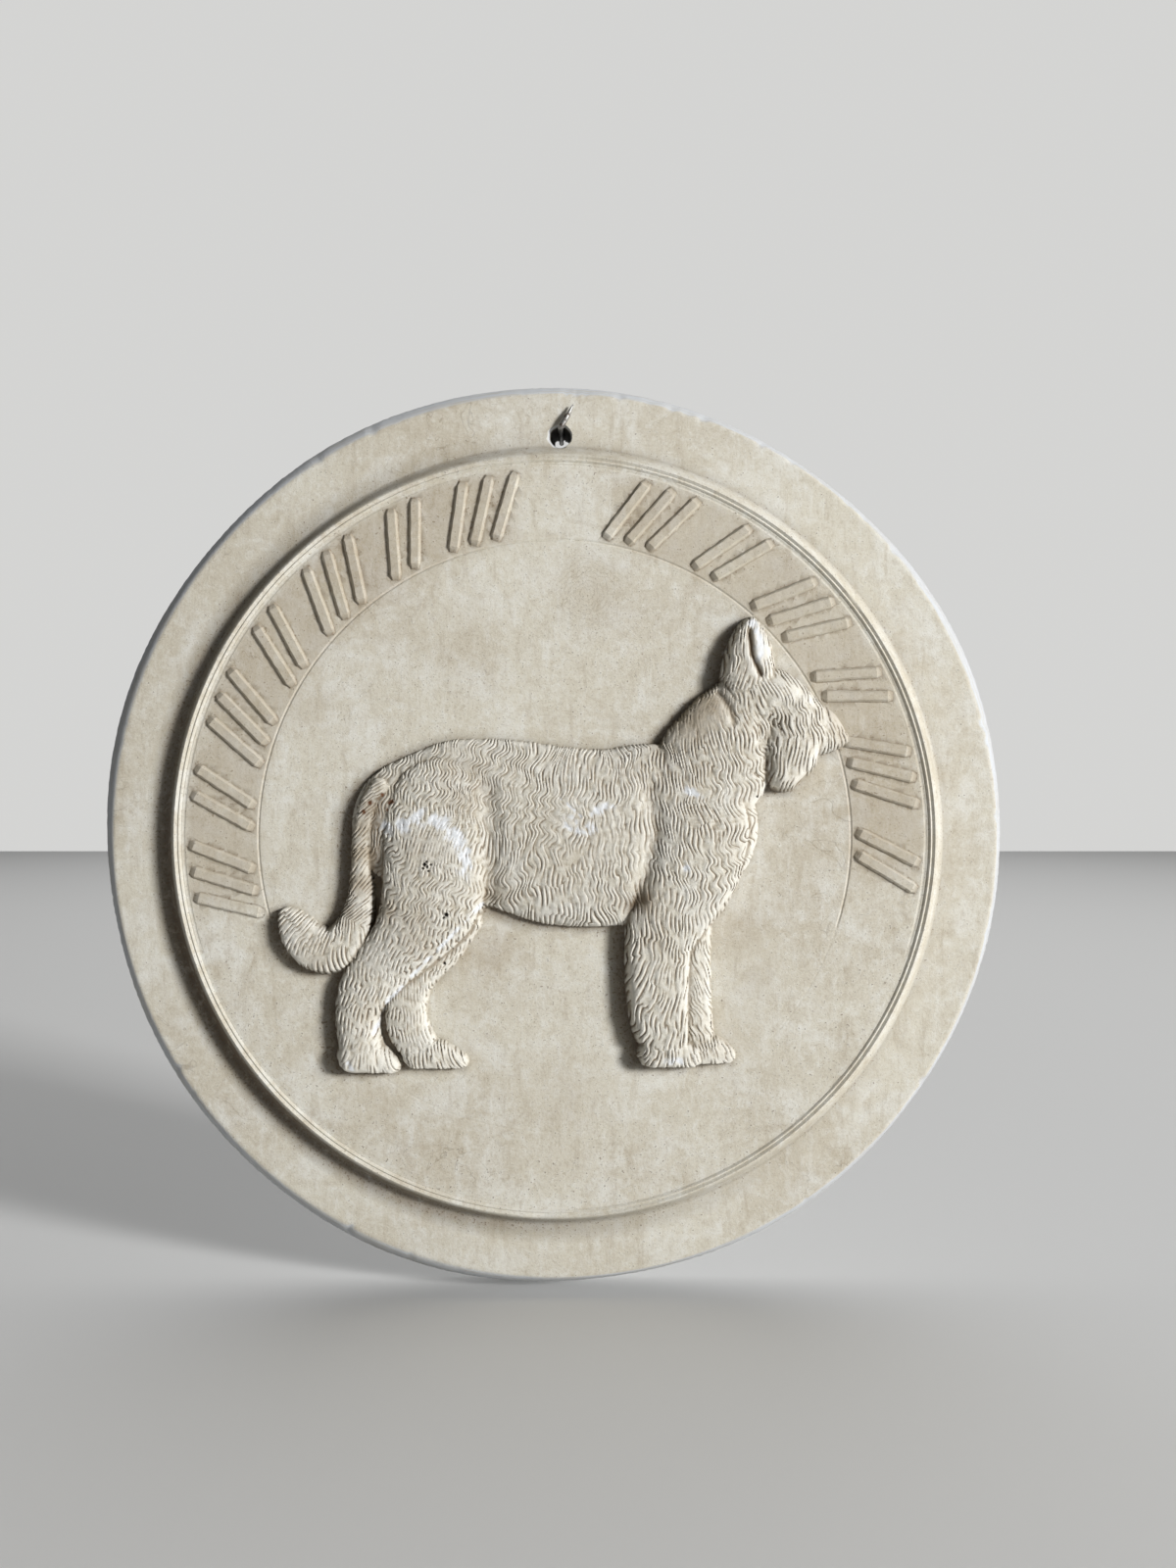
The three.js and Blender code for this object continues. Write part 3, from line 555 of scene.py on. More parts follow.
def combed_forms(forms, owner):
    """Every form's rise with its ragged edge, and the coat's phase, strands, locks, cuts and depth.

    Each point of the grid takes the coat of the form that owns it.
    """
    unrest, liveliness = drift(6.0), np.clip(0.85 + 0.3 * drift(9.0), 0.35, 1.2)
    moods = np.stack([unrest, liveliness, drift(4.0), drift(2.6), drift(5.0)])
    whole = (slice(None), slice(None))
    shared = [(coat, coat_places(coat, whole)) for coat in (BODY_COAT, HEAD_COAT)]
    over_grid = np.zeros((4, *X.shape))
    depth = np.zeros(X.shape)
    rises = []
    for number, form in enumerate(forms):
        common = [places for coat, places in shared if coat is form["coat"]]
        window = whole if common else form_window(form)
        places = common[0] if common else coat_places(form["coat"], window)
        own_coat = np.stack(coat_strands(form, *places, Z[window], moods[(slice(None), *window)]))
        ragged = np.zeros(X.shape)
        ragged[window] = 2 * own_coat[1] - 1
        rises.append(form_rise(form, ragged))
        own = owner[window] == number
        for values, own_values in zip(over_grid, own_coat):
            values[window][own] = own_values[own]
        depth[owner == number] = form["strand"]
    return np.stack(rises), *over_grid, depth


def relief_dirt_and_shade(rise):
    """Painted shade and dirt round the dog: shade at the foot of walls facing away from the light, in its
    channels, and a cast shadow in the light's lee.
    """
    slope_z, slope_x = np.gradient(blurred(np.clip(rise, -6, 3), 1.2), GRID_STEP)
    steep = np.hypot(slope_x, slope_z) + 0.01
    # Painted shade at the foot of the walls, strongest where they face away from the light
    away_from_light = np.clip(0.5 + (0.5 * slope_x + 0.25 * slope_z) / steep, 0.1, 1)
    beside = smooth_step(rise, -EDGE_FALL * FOOT_SHADE_REACH, 0.3) ** 1.3
    foot = np.where(rise > 0, np.exp(-rise / 1.6), beside)
    # Dirt and painted shade in the deep channels
    channels = most(nearness(*track) for track in DIRT_AND_SHADE_TRACKS)
    # A painted cast shadow: the tall parts shifted away from the light step by step, fading with distance
    steps = np.arange(PAINTED_SHADOW_STEPS)
    shifts = -np.rint(np.outer(steps, (math.sin(PAINTED_SHADOW_TURN), math.cos(PAINTED_SHADOW_TURN)))).astype(int)
    painted_shadow = most(np.roll(rise > PAINTED_SHADOW_HEIGHT, shift, (0, 1)) * (1 - (step / PAINTED_SHADOW_STEPS) ** 2)
               for step, shift in zip(steps, shifts))
    painted_shadow = PAINTED_SHADOW_STRENGTH * blurred(painted_shadow, 0.6) * (1 - smooth_step(rise, 0.2, 1.2))
    return most((away_from_light * foot, channels, painted_shadow))


def dog_relief():
    """Height of the dog over the field, and its colour layers: what is deep, proud, worn, pitted or dirty,
    and painted shade, shadow and highlight.
    """
    forms = list(FORMS.values())
    flat = np.zeros(X.shape)
    owner = np.stack([form_rise(form, flat) for form in forms]).argmax(axis=0)
    rises, phase, strands, locks, cuts, depth = combed_forms(forms, owner)
    fullness = np.clip(0.9 + 0.25 * drift(3.0), 0.4, 1.3)
    highest = rises.max(axis=0)
    rise = highest + MELT * np.log(np.exp((rises - highest) / MELT).sum(axis=0))
    on_dog = smooth_step(rise, -0.6, 1.2)
    for points, deep, width in CREASES:
        rise -= on_dog * deep * nearness(points, width)
    calm = np.ones(X.shape)
    for x, z, radius, kept in CALM_PLACES:
        calm *= 1 - (1 - kept) * np.exp(-((X - x) ** 2 + (Z - z) ** 2) ** 2 / radius ** 4)
    depth = blurred(depth, 1.0) * calm * fullness
    inland = smooth_step(rise, 0.2, 1.6)
    rise += inland * (depth * 2 * (strands - 0.75) + LOCK_DEPTH * calm * (locks - 0.7))
    rise += on_dog * 0.05 * drift(0.5)

    ragged = np.clip(1 + 0.4 * drift(0.7), 0, 2)
    worn_and_highlit = smooth_step(ragged * most(nearness(*track) for track in WORN_AND_HIGHLIT_TRACKS) * (0.1 + strands), 0.3, 0.8)
    pit = smooth_step(ragged * most(spot(*place) for place in PITS), 0.4, 0.6)
    rust = smooth_step(ragged * most(spot(*place) for place in RUST_FLECKS), 0.35, 0.6)
    rise -= on_dog * (0.12 * worn_and_highlit + 0.6 * pit)
    # Brown tint: stains, and painted shade on the nape, the armpit and the upper tail
    brown_and_shade = np.clip(1 + 0.25 * drift(2.0), 0, 1.4) * most(
        strength * spot(x, z, radius) for x, z, radius, strength in BROWN_AND_SHADE_PLACES)
    proud = rise - blurred(np.maximum(rise, -1), 0.7)
    above_foot = smooth_step(rise, 0.1, 1.4)
    # The crest layer lightens the ridge tops: partly rubbed plaster, partly a painted highlight
    layers = {"groove": smooth_step(-proud, 0.01, 0.16), "crest": smooth_step(proud, -0.04, 0.12),
              "worn_and_highlit": worn_and_highlit, "pit": pit, "rust": rust}
    layers = {name: values * above_foot for name, values in layers.items()}
    layers["crest"] *= 1 - 0.8 * np.clip(brown_and_shade, 0, 1)
    coats = [form["coat"] for form in forms]
    comb = np.array([[other is coat for other in coats].index(True) for coat in coats], float)[owner]
    seams = sum(np.abs(np.gradient(comb, axis=axis)) for axis in (0, 1)) > 0
    clear = smooth_step(-blurred(seams.astype(float), 0.5), -0.3, -0.02)
    layers["combing"] = depth / LINED_DEPTH * cuts * clear * inland * (1 - 0.6 * worn_and_highlit)
    layers["strand"] = phase
    layers["tint"] = on_dog * brown_and_shade
    # Painted shade and shadow round the dog, with dirt in its channels
    layers["dirt_and_shade"] = relief_dirt_and_shade(rise)
    return rise, layers


def solid_over(name, cells, top, floor):
    """A closed solid over the grid cells that are set: the given tops, a flat floor, and walls round them."""
    used = np.zeros(X.shape, bool)
    for rows in (slice(None, -1), slice(1, None)):
        for columns in (slice(None, -1), slice(1, None)):
            used[rows, columns] |= cells
    index = (np.cumsum(used) - 1).reshape(used.shape)
    count = int(used.sum())
    low = np.full(count, floor)
    points = np.concatenate([placed(X[used], top[used], Z[used]), placed(X[used], low, Z[used])])
    corners = (index[:-1, :-1], index[:-1, 1:], index[1:, 1:], index[1:, :-1])
    tops = np.stack([corner[cells] for corner in corners], axis=1)
    faces = [tops, tops[:, ::-1] + count]
    framed = np.pad(cells, 1)
    beyond = (framed[:-2, 1:-1], framed[1:-1, 2:], framed[2:, 1:-1], framed[1:-1, :-2])
    for side, neighbour in enumerate(beyond):
        open_side = cells & ~neighbour
        start, end = corners[side][open_side], corners[(side + 1) % 4][open_side]
        faces.append(np.stack([end, start, start + count, end + count], axis=1))
    return new_object(name, points, np.concatenate(faces))


def apply_modifiers(made):
    """The object's mesh with its modifiers worked into it."""
    finished = bpy.data.meshes.new_from_object(made.evaluated_get(bpy.context.evaluated_depsgraph_get()))
    made.modifiers.clear()
    made.data = finished


def without_corner_touches(cells):
    """The cells with gaps filled wherever two of them meet at a corner alone."""
    cells = cells.copy()
    for _ in range(4):
        a, b, c, d = cells[:-1, :-1], cells[:-1, 1:], cells[1:, 1:], cells[1:, :-1]
        touch = (a & c & ~b & ~d) | (b & d & ~a & ~c)
        for part in (a, b, c, d):
            part |= touch
    return cells


strand_lengths = chance.uniform(*STRAND_LENGTHS, STRAND_COUNT)
strand_starts = chance.uniform(0, 1, STRAND_COUNT)
dog_rise, dog_layers = dog_relief()
dog_cells = dog_rise > -0.9
dog_cells = dog_cells[:-1, :-1] | dog_cells[:-1, 1:] | dog_cells[1:, :-1] | dog_cells[1:, 1:]
dog_top = field_height(np.hypot(X, Z)) + np.maximum(dog_rise, -1.5)
dog = solid_over("dog", without_corner_touches(dog_cells), dog_top, FIELD_HEIGHT - SUNK_DEPTH)
thinned = dog.modifiers.new("Thinned", "DECIMATE")
thinned.ratio = DOG_TRIANGLES / (2 * len(dog.data.polygons))
apply_modifiers(dog)

# The row of strokes: plain raised bars along the top of the field, all alike and leaning the same way.
# They are cast with the field between two scored guide circles, and their edges are slightly uneven.
STROKE_RADII = (98.0, 121.0)
STROKE_WIDTH = 4.2
STROKE_TOP_WIDTH = 2.4
STROKE_HEIGHT = 1.1
STROKE_LEAN = math.radians(25)
STROKE_PITCH = 8.0
STROKE_STEPS = 14
STROKES_IN_CELL = (3, 2)
# Each run of cells: its number of cells, and the angles of its first and last, in degrees from +x
STROKE_RUNS = ((7, 187.8, 102.7), (6, 73.4, -4.1))


def stroke_angles():
    """Angle of every stroke's middle: a run's cells are spread evenly, and strokes stand at one pitch."""
    middle = sum(STROKE_RADII) / 2
    angles = []
    for cells, first, last in STROKE_RUNS:
        for cell, centre in enumerate(np.radians(np.linspace(first, last, cells))):
            count = STROKES_IN_CELL[cell % len(STROKES_IN_CELL)]
            angles += list(centre - (np.arange(count) - (count - 1) / 2) * STROKE_PITCH / middle)
    return np.array(angles)


def strokes_object():
    """Every stroke as a bar's profile carried along a straight line, with sloping ends and uneven edges."""
    angles = stroke_angles()
    middle = sum(STROKE_RADII) / 2
    reach = STROKE_RADII[1] - STROKE_RADII[0] - STROKE_WIDTH * math.sin(STROKE_LEAN)
    length = reach / math.cos(STROKE_LEAN)
    half, top = STROKE_WIDTH / 2, STROKE_TOP_WIDTH / 2
    side = np.array([-half, -half, -0.5 * (half + top), -top, top, 0.5 * (half + top), half, half])
    flank = 0.62 * STROKE_HEIGHT
    rise = np.array([-SUNK_DEPTH, 0, flank, STROKE_HEIGHT, STROKE_HEIGHT, flank, 0, -SUNK_DEPTH])
    share = np.linspace(0, 1, STROKE_STEPS)
    taper = np.clip(np.minimum(share, 1 - share) * length / (half - top), 0, 1)
    bars, steps, points = len(angles), STROKE_STEPS, len(side)
    uneven = 1 + chance.normal(0, 0.035, (bars, steps, points))
    over = side * (0.72 + 0.28 * taper[:, None]) * uneven
    high = np.where(rise > 0, rise * (0.12 + 0.88 * taper[:, None]), rise) * np.where(rise > 0, uneven, 1)
    run = np.broadcast_to(((share - 0.5) * length)[:, None], (bars, steps, points))
    heading = (angles - STROKE_LEAN)[:, None, None]
    x = middle * np.cos(angles)[:, None, None] + run * np.cos(heading) - over * np.sin(heading)
    z = middle * np.sin(angles)[:, None, None] + run * np.sin(heading) + over * np.cos(heading)
    base = field_height(np.hypot(x, z))
    each = steps * points
    ring = np.arange(steps - 1)[:, None] * points
    here = np.arange(points)[None, :]
    after = (here + 1) % points
    skin = np.stack([ring + here, ring + points + here, ring + points + after, ring + after], axis=-1)
    skin = skin.reshape(-1, 4)
    caps = np.array([list(range(points)), list(range(each - 1, each - 1 - points, -1))])
    offset = (np.arange(bars) * each)[:, None, None]
    return new_object("strokes", placed(x, base + high, z),
                      (skin[None] + offset).reshape(-1, 4), (caps[None] + offset).reshape(-1, points))


strokes = strokes_object()

# The hanging hole: bored through the rim at the top after casting. Its front edge broke away to raw white
# plaster, most on the left and below.
HOLE_X, HOLE_Z = 1.8, 132.7
HOLE_RADIUS = 3.4
HOLE_TURN = 56
# Each stop along the bore: its distance from the wall, its widening, and its share of the broken edge
HOLE_STOPS = ((-1.0, 0.45, -1.6), (0.0, 0.45, -1.6), (2.0, 0.3, -1.0), (6.0, 0.0, 0.0), (17.6, 0.0, 0.05),
              (18.9, 0.08, 0.4), (19.7, 0.2, 0.9), (20.4, 0.3, 1.1), (21.5, 0.3, 1.1))
HOLE_BREAK_TURN = math.radians(215)


def bore_object():
    """The bore as rings along its axis: each stop has a depth, a widening, and a share of the broken edge."""
    turn = 2 * np.pi * np.arange(HOLE_TURN) / HOLE_TURN
    broken = 0.3 + 0.7 * np.clip(np.cos(turn - HOLE_BREAK_TURN), 0, 1)
    broken = broken * (1 + 0.35 * np.sin(5 * turn + 1) * np.sin(3 * turn)) + chance.normal(0, 0.06, HOLE_TURN)
    rings = [placed(HOLE_X, np.array([HOLE_STOPS[0][0]]), HOLE_Z)]
    for depth, wider, share in HOLE_STOPS:
        radius = HOLE_RADIUS + wider + share * broken
        x, z = HOLE_X + radius * np.cos(turn), HOLE_Z + radius * np.sin(turn)
        rings.append(placed(x, np.full(HOLE_TURN, depth), z))
    rings.append(placed(HOLE_X, np.array([HOLE_STOPS[-1][0]]), HOLE_Z))
    starts = 1 + HOLE_TURN * np.arange(len(HOLE_STOPS))
    quads = [band_faces(first, second, HOLE_TURN) for first, second in zip(starts[:-1], starts[1:])]
    point = np.arange(HOLE_TURN)
    other = (point + 1) % HOLE_TURN
    back = np.stack([np.zeros(HOLE_TURN, int), 1 + other, 1 + point], axis=1)
    tip = np.full(HOLE_TURN, starts[-1] + HOLE_TURN)
    front = np.stack([starts[-1] + point, starts[-1] + other, tip], axis=1)
    return new_object("bore", np.concatenate(rings), np.concatenate(quads), back, front)


bore = bore_object()

# The casting: disc, dog and strokes are one piece of plaster. They are joined here, the hole is cut, and each
# point is told how much dirt, painted shade, shadow and highlight, wear and raw plaster it carries. The face
# is sealed cream, rubbed and stained.
RAW_START, RAW_END = 19.93, 19.6
RAW_RADIUS = 140.0
HOLE_DARK = (0.5, 18.7)
LIP_FOOT = 24.0
STEP_SHADOW = 0.95
STROKE_FOOT_DARKENING = 0.55
FIELD_TOLERANCE = 0.03
RING_TOLERANCE = 0.03
LIGHT_TURN = math.radians(25)
SCRIBBLE_PLACE = (11.0, 80.0)
# Where the strokes' band is tinted: its fades in and out over the radius in mm, and over the turn in degrees.
# The left run goes on past the half turn, where degrees count from below.
TINT_RADII = ((95, 99), (120, 122.5))
RIGHT_TINT = ((-12, -4), (76, 82))
LEFT_TINT_START = (94, 100)
LEFT_TINT_PAST = (164, 172)
# Layers that hold a count of strands or a distance in mm, and so aren't shares from 0 to 1
COUNTED_LAYERS = ("strand", "scribble")
# Brown stains on the field: x, z, radius in mm and strength
FIELD_STAINS = ((61, -32, 8, 0.6), (66, -46, 6, 0.5), (-22, -38, 8, 0.45), (12, 80, 13, 0.45),
                (-30, 62, 12, 0.3), (58, -66, 9, 0.35), (-84, 44, 9, 0.35), (2, -88, 13, 0.35),
                (84, 64, 8, 0.5), (-60, -88, 10, 0.3))


def joined(base, other, operation):
    """The first object cut by or joined with the second, which is used up."""
    step = base.modifiers.new(operation.title(), "BOOLEAN")
    step.operation = operation
    step.solver = "MANIFOLD"
    step.object = other
    apply_modifiers(base)
    bpy.data.objects.remove(other)


joined(plaque, dog, "UNION")
joined(plaque, strokes, "UNION")
joined(plaque, bore, "DIFFERENCE")
plaque.data.name = "plaque_casting"


def read_grid(values, x, z):
    """Values of a grid at free places, mixed from the four grid points around each."""
    u = np.clip((x - LEFT) / GRID_STEP, 0, len(across) - 1.001)
    v = np.clip((z - LOW) / GRID_STEP, 0, len(upward) - 1.001)
    i, j = u.astype(int), v.astype(int)
    f, g = u - i, v - j
    low = values[j, i] * (1 - f) + values[j, i + 1] * f
    high = values[j + 1, i] * (1 - f) + values[j + 1, i + 1] * f
    return low * (1 - g) + high * g


def face_places(mesh):
    """Where the mesh's points lie on the face, in mm: to the right, out of the wall, and up."""
    places = np.empty(len(mesh.vertices) * 3, np.float32)
    mesh.vertices.foreach_get("co", places)
    return (places.reshape(-1, 3) / MM).T * np.array([[1], [-1], [1]])


def between(values, fade_in, fade_out):
    """One from the end of the fade in to the start of the fade out, and zero outside both."""
    return smooth_step(values, *fade_in) * smooth_step(-values, -fade_out[1], -fade_out[0])


def mark_plaster(mesh):
    """Writes the colour layers to the points: the dog's from its grid, and the disc's by place."""
    x, w, z = face_places(mesh)
    radius = np.hypot(x, z)
    inside = (x > LEFT) & (x < RIGHT) & (z > LOW) & (z < HIGH) & (w > RIM_THICKNESS)
    layers = {name: np.where(inside, read_grid(values, x, z), 0.0) for name, values in dog_layers.items()}
    # Painted shadow on the step's wall and on the rim beside it, strongest on the side away from the light,
    # and a darker line along the step's foot
    shaded = (0.5 - 0.5 * np.cos(np.arctan2(z, x) - LIGHT_TURN)) ** 2
    on_step = smooth_step(radius, LIP_RADIUS + 0.3, LIP_RADIUS + 1.6)
    near_step = 1 - smooth_step(radius, STEP_FOOT_RADIUS + 1.5, STEP_FOOT_RADIUS + 6.5)
    foot_line = 0.4 * np.exp(-np.abs(radius - STEP_FOOT_RADIUS) / 1.2)
    layers["dirt_and_shade"] = most((layers["dirt_and_shade"], STEP_SHADOW * shaded * on_step * near_step, foot_line))
    layers["scribble"] = np.hypot(x - SCRIBBLE_PLACE[0], z - SCRIBBLE_PLACE[1])
    stains = [strength * np.exp(-((x - at_x) ** 2 + (z - at_z) ** 2) / wide ** 2)
              for at_x, at_z, wide, strength in FIELD_STAINS]
    layers["tint"] = np.maximum(layers["tint"], np.where(w > LIP_FOOT, most(stains), 0))
    scored = [guide + GUIDE_HALF_WIDTH * side for guide in GUIDE_RADII for side in (-1, 0, 1)]
    rings = np.array([*STROKE_BAND_RINGS, *scored])
    # Points at the strokes' feet, off the field's rings, are darkened
    in_strokes = (radius > STROKE_RADII[0]) & (radius < STROKE_RADII[1]) & (w < field_height(radius) + 0.3)
    off_ring = np.abs(radius[:, None] - rings).min(axis=1) > RING_TOLERANCE
    layers["dirt_and_shade"] = np.where(in_strokes & off_ring & (layers["dirt_and_shade"] < 0.05), STROKE_FOOT_DARKENING, layers["dirt_and_shade"])
    band = between(radius, *TINT_RADII)
    turn = np.degrees(np.arctan2(z, x))
    runs = between(turn, *RIGHT_TINT) + smooth_step(turn, *LEFT_TINT_START)
    runs += smooth_step(-turn, *LEFT_TINT_PAST)
    layers["tint"] = np.maximum(layers["tint"], 0.7 * band * np.clip(runs, 0, 1))
    edge = (radius > RAW_RADIUS) & (w < RAW_START)
    hole = (np.hypot(x - HOLE_X, z - HOLE_Z) < 2 * HOLE_RADIUS) & (w < RAW_START)
    # Inside the bore the points are painted near black: painted shade in the hole
    deep = hole & (w > HOLE_DARK[0]) & (w < HOLE_DARK[1])
    bared = np.where((edge | hole) & ~deep, smooth_step(-w, -RAW_START, -RAW_END), 0.0)
    layers["raw"] = bared + (w < HOLE_DARK[0])
    layers["pit"] = np.where(deep, 0.9, layers["pit"])
    for name, values in layers.items():
        layer = mesh.attributes.new(name, "FLOAT", "POINT")
        kept = values if name in COUNTED_LAYERS else np.clip(values, 0, 1)
        layer.data.foreach_set("value", kept.astype(np.float32))


def part_at_foot(mesh):
    """Keeps the field's shade apart from the relief's: flat field faces, and sharp edges where they meet."""
    x, w, z = face_places(mesh)
    radius = np.hypot(x, z)
    corner_point = np.empty(len(mesh.loops), np.int32)
    corner_edge = np.empty(len(mesh.loops), np.int32)
    face_size = np.empty(len(mesh.polygons), np.int32)
    mesh.loops.foreach_get("vertex_index", corner_point)
    mesh.loops.foreach_get("edge_index", corner_edge)
    mesh.polygons.foreach_get("loop_total", face_size)
    first_corner = np.cumsum(face_size) - face_size
    in_field = (np.abs(w - field_height(radius)) < FIELD_TOLERANCE) & (radius < FIELD_RADIUS)
    off_dog = read_grid(dog_rise, x, z) < -0.5
    in_band = (radius > STROKE_RADII[0] - 2) & (radius < STROKE_RADII[1] + 0.5) & off_dog
    face_in_field, face_in_band = (
        np.logical_and.reduceat(points[corner_point], first_corner) for points in (in_field, in_band))
    corner_in_field = np.repeat(face_in_field, face_size)
    meets = np.zeros((2, len(mesh.edges)), bool)
    meets[0, corner_edge[corner_in_field]] = True
    meets[1, corner_edge[~corner_in_field]] = True
    sharp = np.empty(len(mesh.edges), bool)
    mesh.edges.foreach_get("use_edge_sharp", sharp)
    mesh.edges.foreach_set("use_edge_sharp", sharp | meets.all(axis=0))
    mesh.polygons.foreach_set("use_smooth", ~(face_in_field | face_in_band))


mark_plaster(plaque.data)
plaque.data.shade_smooth()
plaque.data.set_sharp_from_angle(angle=math.radians(55))
part_at_foot(plaque.data)


def new_material(name):
    """A node material with its node tree, its surface shader and its Object coordinates."""
    material = bpy.data.materials.new(name)
    material.use_nodes = True
    nodes, links = material.node_tree.nodes, material.node_tree.links
    shader = nodes["Principled BSDF"]
    place = nodes.new("ShaderNodeTexCoord").outputs["Object"]
    return material, nodes, links, shader, place


def add_noise(nodes, links, place, scale, detail=4.0, roughness=0.55, distortion=0.0, stretch=None):
    """Smooth noise over the coordinates, 0 to 1, stretched by a mapping where one is given."""
    if stretch is not None:
        mapping = nodes.new("ShaderNodeMapping")
        mapping.inputs["Scale"].default_value = stretch
        links.new(place, mapping.inputs["Vector"])
        place = mapping.outputs["Vector"]
    noise = nodes.new("ShaderNodeTexNoise")
    noise.inputs["Scale"].default_value = scale
    noise.inputs["Detail"].default_value = detail
    noise.inputs["Roughness"].default_value = roughness
    noise.inputs["Distortion"].default_value = distortion
    links.new(place, noise.inputs["Vector"])
    return noise.outputs["Fac"]


def add_range(nodes, links, value, low, high, to_high=1.0, to_low=0.0):
    """The value's stretch from low to high, mapped to new limits with smooth ends and held beyond them."""
    ranged = nodes.new("ShaderNodeMapRange")
    ranged.interpolation_type = "SMOOTHSTEP"
    ranged.inputs["From Min"].default_value = low
    ranged.inputs["From Max"].default_value = high
    ranged.inputs["To Min"].default_value = to_low
    ranged.inputs["To Max"].default_value = to_high
    links.new(value, ranged.inputs["Value"])
    return ranged.outputs["Result"]


def add_math(nodes, links, operation, first, second):
    """One step of arithmetic on two values, each a socket or a number."""
    step = nodes.new("ShaderNodeMath")
    step.operation = operation
    for socket, value in zip(step.inputs, (first, second)):
        if isinstance(value, (int, float)):
            socket.default_value = value
        else:
            links.new(value, socket)
    return step.outputs["Value"]


def add_mix(nodes, links, under, share, over):
    """A colour with another laid over it by a share: a colour is a socket or three numbers."""
    mix = nodes.new("ShaderNodeMix")
    mix.data_type = "RGBA"
    links.new(share, mix.inputs[0])
    for socket, colour in ((mix.inputs[6], under), (mix.inputs[7], over)):
        if isinstance(colour, tuple):
            socket.default_value = (*colour, 1.0)
        else:
            links.new(colour, socket)
    return mix.outputs[2]


def add_layer(nodes, name):
    """A point layer of the mesh, as a value."""
    layer = nodes.new("ShaderNodeAttribute")
    layer.attribute_name = name
    return layer.outputs["Fac"]


CREAM = (0.625, 0.59, 0.495)
TAN = (0.48, 0.425, 0.33)
PALE = (0.74, 0.737, 0.695)
STAIN = (0.34, 0.27, 0.18)
GROOVE_DIRT = (0.16, 0.112, 0.066)
# Near-black brown for painted shade and shadow beside the relief, and for dirt in its channels
CONTACT_DIRT_AND_SHADE = (0.10, 0.07, 0.042)
# Pale tone of the ridge tops: partly rubbed plaster, partly a painted highlight
CREST_HIGHLIGHT_AND_RUB = (0.80, 0.78, 0.715)
RAW_PLASTER = (0.56, 0.58, 0.60)
# White of rubbed plaster, also used for a painted highlight on one lit edge
WORN_PLASTER_AND_HIGHLIGHT = (0.80, 0.83, 0.87)
RUST = (0.12, 0.05, 0.02)
# Near black of the casting pits, and of the painted shade inside the bore
PIT_AND_BORE_SHADE_BLACK = (0.012, 0.010, 0.008)


